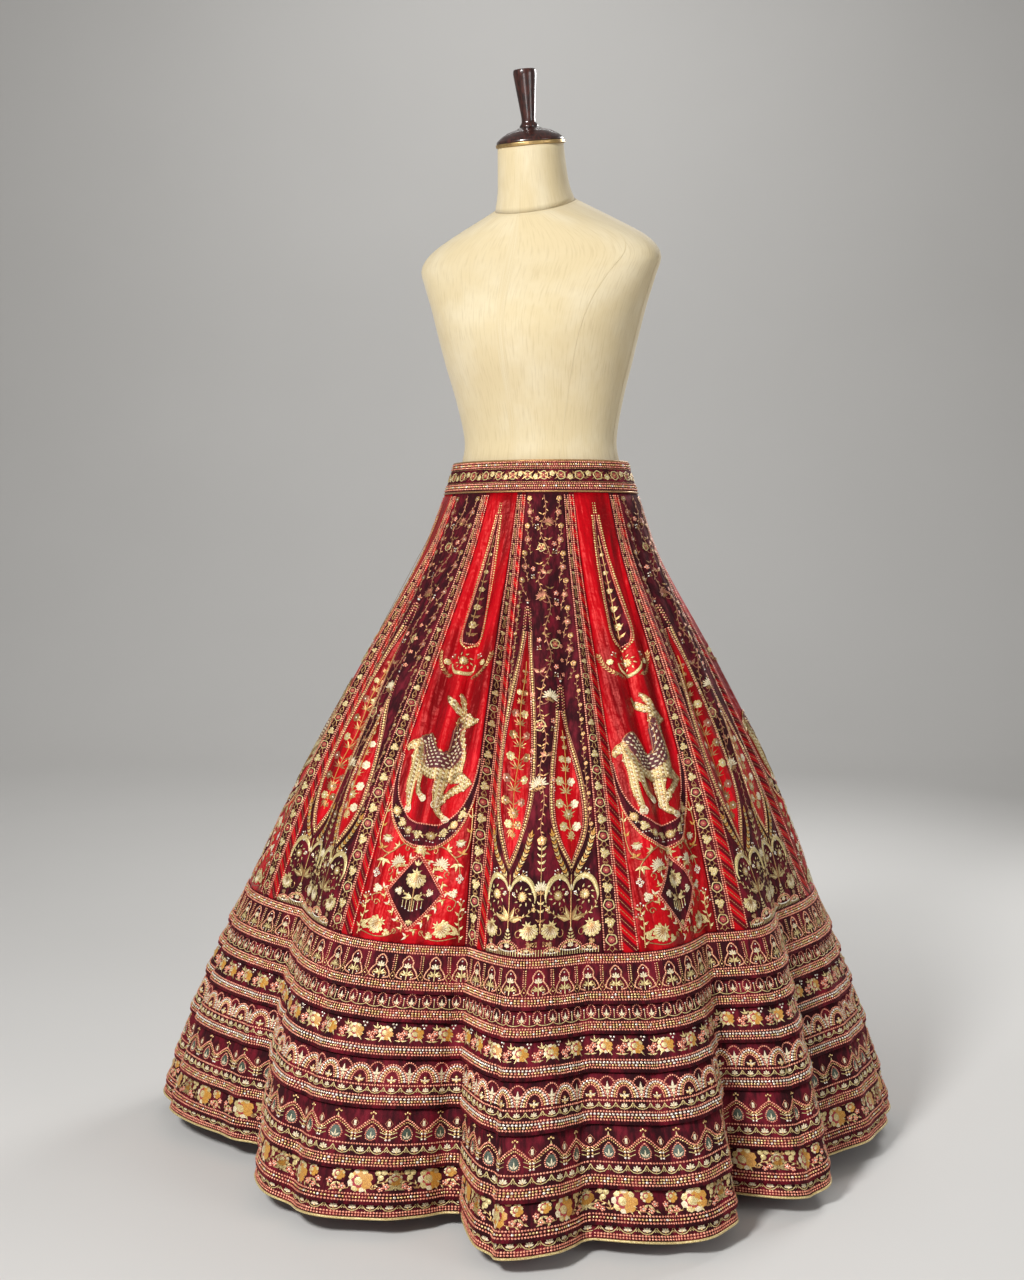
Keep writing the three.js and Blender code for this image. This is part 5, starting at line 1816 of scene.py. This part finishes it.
class LehengaStudio(Operator):
    """Floor, backdrop, lights and camera"""

    bl_idname = "lehenga.studio"
    bl_label = "Studio"

    def place(self, name, data, where=(0, 0, 0)):
        made = bpy.data.objects.new(name, data)
        made.location = where
        bpy.context.scene.collection.objects.link(made)
        return made

    def execute(self, context):
        scene = context.scene
        scene.view_settings.view_transform = "Standard"
        finish = Finish("Pale studio paper", Roughness=0.85)
        mottle = finish.noise(finish.place(), 1.2, 3)
        paper = finish.feed(Base_Color=finish.mix(mottle, (0.66, 0.65, 0.63), (0.70, 0.69, 0.67)))
        x = np.array([-12.0, 12.0])
        profile = [(-8, 0), (4.2, 0)]
        profile += [(4.2 + 2.2 * math.sin(t), 2.2 - 2.2 * math.cos(t)) for t in np.linspace(0.1, math.pi / 2, 16)]
        profile += [(6.4, 9)]
        points = [(px, y, z - 0.0002) for y, z in profile for px in x]
        mesh = bpy.data.meshes.new("studio_floor")
        mesh.from_pydata(points, [], [(2 * k, 2 * k + 1, 2 * k + 3, 2 * k + 2) for k in range(len(profile) - 1)])
        mesh.polygons.foreach_set("use_smooth", [True] * len(mesh.polygons))
        mesh.materials.append(paper)
        self.place("studio_floor", mesh)
        for name, place, aim, size, power in (
            ("key", (-1.5, -2.6, 2.5), (0, 0, 0.55), 0.7, 108),
            ("fill", (2.6, -2.2, 1.3), (0, 0, 0.5), 1.4, 15),
            ("low", (-0.6, -3.4, 0.5), (0, 0, 0.25), 1, 10),
            ("rim", (1.7, 2, 2.3), (0, 0, 0.9), 1.2, 44),
            ("wash", (0, 3.4, 4.3), (0, 6, 0.4), 2.4, 55),
        ):
            lamp = bpy.data.lights.new(name, "AREA")
            lamp.shape, lamp.size, lamp.energy = "DISK", size, power
            light = self.place(name, lamp, place)
            way = np.array(aim) - np.array(place)
            flat = math.hypot(way[0], way[1])
            light.rotation_euler = Euler((math.atan2(flat, -way[2]), 0, math.atan2(-way[0], way[1])))
        world = bpy.data.worlds.new("studio_air")
        world.use_nodes = True
        world.node_tree.nodes["Background"].inputs[0].default_value = (1, 0.98, 0.96, 1)
        world.node_tree.nodes["Background"].inputs[1].default_value = 0.22
        scene.world = world
        lens = bpy.data.cameras.new("camera")
        lens.sensor_fit, lens.sensor_height, lens.lens = "VERTICAL", 36, 47.53
        camera = self.place("camera", lens, (-0.043, -2.6, 0.884))
        camera.rotation_euler = Euler((math.radians(90 - 3.05), 0, 0))
        scene.camera = camera
        return {"FINISHED"}


class LehengaWaistband(Operator):
    """The velvet waistband, its piping and its beadwork"""

    bl_idname = "lehenga.waistband"
    bl_label = "Waistband"

    def execute(self, context):
        middle_height = (WAIST_TOP + WAISTBAND_BOTTOM) / 2
        length = float(around(middle_height)) / 2
        depth = float(length_down(WAISTBAND_BOTTOM) - length_down(WAIST_TOP))
        for name, low in (("waistband_front", -0.25), ("waistband_back", 0.25)):
            across = np.linspace(0, 1, 101)[None, :]
            down = np.linspace(0, 1, 9)[:, None]
            trim = 0.15 / length / 2
            shares = low + trim + (0.5 - 2 * trim) * across
            heights = WAIST_TOP + (WAISTBAND_BOTTOM + 0.2 - WAIST_TOP) * down
            lifts = 0.6 + 0.7 * np.sin(np.pi * down) ** 0.5
            cuts = np.stack([across * length + 0 * down, down * depth + 0 * across], -1)
            band = wall(name + "_velvet", shares, heights, lifts, cuts, "velvet", "maroon_velvet")

            def ground(x, y, lift, low=low):
                height = WAIST_TOP + (WAISTBAND_BOTTOM - WAIST_TOP) * y / 48
                return drape().at(low + 0.25 + x / (2 * length), height, lift + 1.2)

            made = waistband_work(length).sew(name, ground)
            for height, label in ((WAIST_TOP - 0.8, "_top_piping"), (WAISTBAND_BOTTOM + 1.6, "_lower_piping")):
                made.append(cord_round(name + label, height, 1.5, 0.9, "gold", "piping", low + 0.0004, low + 0.4996,
                    steps=150))
            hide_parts(name)
        return {"FINISHED"}


class LehengaVelvetGores(Operator):
    """The six velvet gores with their satin spears and embroidery"""

    bl_idname = "lehenga.velvet_gores"
    bl_label = "Velvet gores"

    def execute(self, context):
        work, tall, short = velvet_gore_work()

        def spears(name, ground):
            return [laid_patch(name + label, rows, ground, "satin", "red_satin") for label,
                rows in (("_tall_spear", tall), ("_short_spear", short))]

        for name, _, start, span in panel_places("velvet"):
            hang_panel(name, start, span, work, "velvet", "maroon_velvet", 22, lay=spears)
        return {"FINISHED"}


class LehengaSatinGores(Operator):
    """The six satin gores with their applied velvet, deer and flowers"""

    bl_idname = "lehenga.satin_gores"
    bl_label = "Satin gores"

    def execute(self, context):
        work = satin_gore_work()

        def applied(name, ground):
            made = [laid_patch(name + label, rows, ground, "velvet", "maroon_velvet") for label,
                rows in (("_drop", drop_rows()), ("_diamond", diamond_rows()))]
            return made + [band_patch(name + "_crescent", ground)]

        for name, _, start, span in panel_places("satin"):
            hang_panel(name, start, span, work, "satin", "red_satin", 20, lay=applied)
        return {"FINISHED"}


class LehengaStrips(Operator):
    """The rose strips and striped strips between the gores"""

    bl_idname = "lehenga.strips"
    bl_label = "Strips"

    def execute(self, context):
        looks = {
            "rose": (rose_strip_work(), "strip velvet", "rose_strip"),
            "leheriya": (leheriya_work(), "striped", "striped_satin"),
        }
        for name, kind, start, span in panel_places(*looks):
            hang_panel(name, start, span, *looks[kind], 4, 0.3)
        return {"FINISHED"}


class LehengaBorder(Operator):
    """The seven tiers of the border and the piped hem"""

    bl_idname = "lehenga.border"
    bl_label = "Border"

    def execute(self, context):
        for (name, starts, ends), stitch in zip(TIERS, TIER_WORK):
            tier = Tier(starts, ends)
            work = Needlework()
            stitch(work, tier, tier.depth)
            last = ends == 1
            across = np.linspace(0, 1, 577)[None, :]
            rows = max(4, int(tier.depth / 11))
            down = np.linspace(0, 1, rows + 1)[:, None]
            length = float(np.linalg.norm(np.diff(drape().at(np.linspace(-0.5, 0.5, 800),
                (tier.top + tier.bottom) / 2), axis=0), axis=1).sum())
            trim = 0.15 / length
            shares = -0.5 + trim + (1 - 2 * trim) * across
            heights = tier.top + (tier.bottom - (0 if last else 3) - tier.top) * down
            lifts = flare(down, tier.flare_by)
            cuts = np.stack([across * length + 0 * down, down * tier.depth + 0 * across], -1)
            cloth = wall(name + "_cloth", shares, heights, lifts, cuts, "velvet", "maroon_velvet")
            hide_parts(name)
            made = work.sew(name, tier.ground)
            if last:
                made.append(cord_round("hem_piping", HEM + 1, 1.7, 2.2, "cream", "piping", steps=900))
        return {"FINISHED"}


class LehengaDressForm(Operator):
    """The linen dress form, its neck cap, rim and handle"""

    bl_idname = "lehenga.dress_form"
    bl_label = "Dress form"

    def execute(self, context):
        form_skin("form_torso_cover", TORSO, 70, "form_torso")
        form_skin("form_neck_cover", NECK, 12, "form_neck")
        seams = Needlework()
        front, side = 0, 220
        for middle, low, high in ((front, 1019, 1402), (440, 1019, 1402), (side, 1019, 1318),
                (880 - side, 1019, 1318)):
            seams.thread(np.stack([np.full(60, float(middle)), np.linspace(low, high, 60)], -1), 1.3, "cream", 0.3)
        for s in (-1, 1):
            seams.thread(curve((front + s * 78, 1019), (front + s * 92, 1120), (front + s * 104, 1210),
                (front + s * 120, 1290), (front + s * 150, 1352), count=16), 1.3, "cream", 0.3)
            seams.thread(curve((440 + s * 88, 1019), (440 + s * 96, 1150), (440 + s * 104, 1270),
                (440 + s * 110, 1345), count=16), 1.3, "cream", 0.3)
        seams.thread(np.stack([np.linspace(0, 880, 120), np.full(120, 1402)], -1), 1.6, "cream", 0.4)

        def ground(x, y, lift):
            return form_points(TORSO, x / 880 * 360, y, lift + 0.1)

        made = seams.sew("form_seams", ground)
        for piece in made:
            piece.data.materials[0] = finish_named("linen")
            layer = piece.data.uv_layers.new(name="Cut")
            layer.uv.foreach_set("vector", np.zeros(2 * len(piece.data.loops), np.float32))

        turn, tilt = FORM_TURN * DEG, 12 * DEG

        def place(local):
            x, y, z = local[:, 0], local[:, 1], local[:, 2]
            y, z = y * math.cos(tilt) - z * math.sin(tilt) - 36, y * math.sin(tilt) + z * math.cos(tilt) + 1488.6
            return np.stack([x * math.cos(turn) - y * math.sin(turn), x * math.sin(turn) + y * math.cos(turn), z], -1)

        turned_piece("form_neck_rim_brass", rounded((30, 0, 0), (51.8, 0, 1.2), (52, 5, 1.4), (30, 5, 0), count=6),
            "brass", "brass", place, "form_neck_rim")
        dome = rounded((20, 5.3, 0), (51, 5.3, 1), (50.6, 8.6, 2), (43, 14.8, 3), (33, 20.6, 4), (20, 24, 3),
            (16.5, 26, 1.5), (2, 26.3, 0), count=6)
        turned_piece("form_neck_cap_wood", dome, "wood", "dark_wood", place, "form_neck_cap")
        foot = 26.6
        handle = rounded((1, foot, 0), (14, foot, 0.6), (14, foot + 2.4, 0.8), (10.4, foot + 7, 2.5),
            (10.2, foot + 14, 3), (13.2, foot + 40, 8), (16.2, foot + 66, 6), (17.4, foot + 77, 3),
            (16.4, foot + 83, 2.4), (1, foot + 84, 0), count=6)
        turned_piece("form_handle_wood", handle, "wood", "dark_wood", place, "form_handle")
        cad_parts["form_underplate"].data.materials[0] = finish_named("wood")
        return {"FINISHED"}


class LehengaStand(Operator):
    """The pole, socket and round foot keep their shapes and get their finish"""

    bl_idname = "lehenga.stand"
    bl_label = "Stand"

    def execute(self, context):
        for name in ("stand_pole", "stand_socket", "stand_base"):
            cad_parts[name].data.materials[0] = finish_named("steel")
        return {"FINISHED"}


OPERATORS = (LehengaStudio, LehengaWaistband, LehengaVelvetGores, LehengaSatinGores, LehengaStrips, LehengaBorder,
             LehengaDressForm, LehengaStand)


class LehengaPanel(Panel):
    """Lists the skirt's pieces in the sidebar"""

    bl_idname = "VIEW3D_PT_lehenga"
    bl_label = "Lehenga"
    bl_space_type = "VIEW_3D"
    bl_region_type = "UI"
    bl_category = "Lehenga"

    def draw(self, context):
        scene = context.scene
        for group in (scene.lehenga_sizes, scene.lehenga_colours):
            for key in group.__annotations__:
                self.layout.prop(group, key)
        for operator in OPERATORS:
            self.layout.operator(operator.bl_idname)


CLASSES = (LehengaSizes, LehengaColours, *OPERATORS, LehengaPanel)


def register():
    for cls in CLASSES:
        bpy.utils.register_class(cls)
    bpy.types.Scene.lehenga_sizes = PointerProperty(type=LehengaSizes)
    bpy.types.Scene.lehenga_colours = PointerProperty(type=LehengaColours)


def unregister():
    del bpy.types.Scene.lehenga_sizes
    del bpy.types.Scene.lehenga_colours
    for cls in reversed(CLASSES):
        bpy.utils.unregister_class(cls)


def main():
    register()
    for name in ("studio", "waistband", "velvet_gores", "satin_gores", "strips", "border", "dress_form", "stand"):
        getattr(bpy.ops.lehenga, name)()


if __name__ == "__main__":
    main()
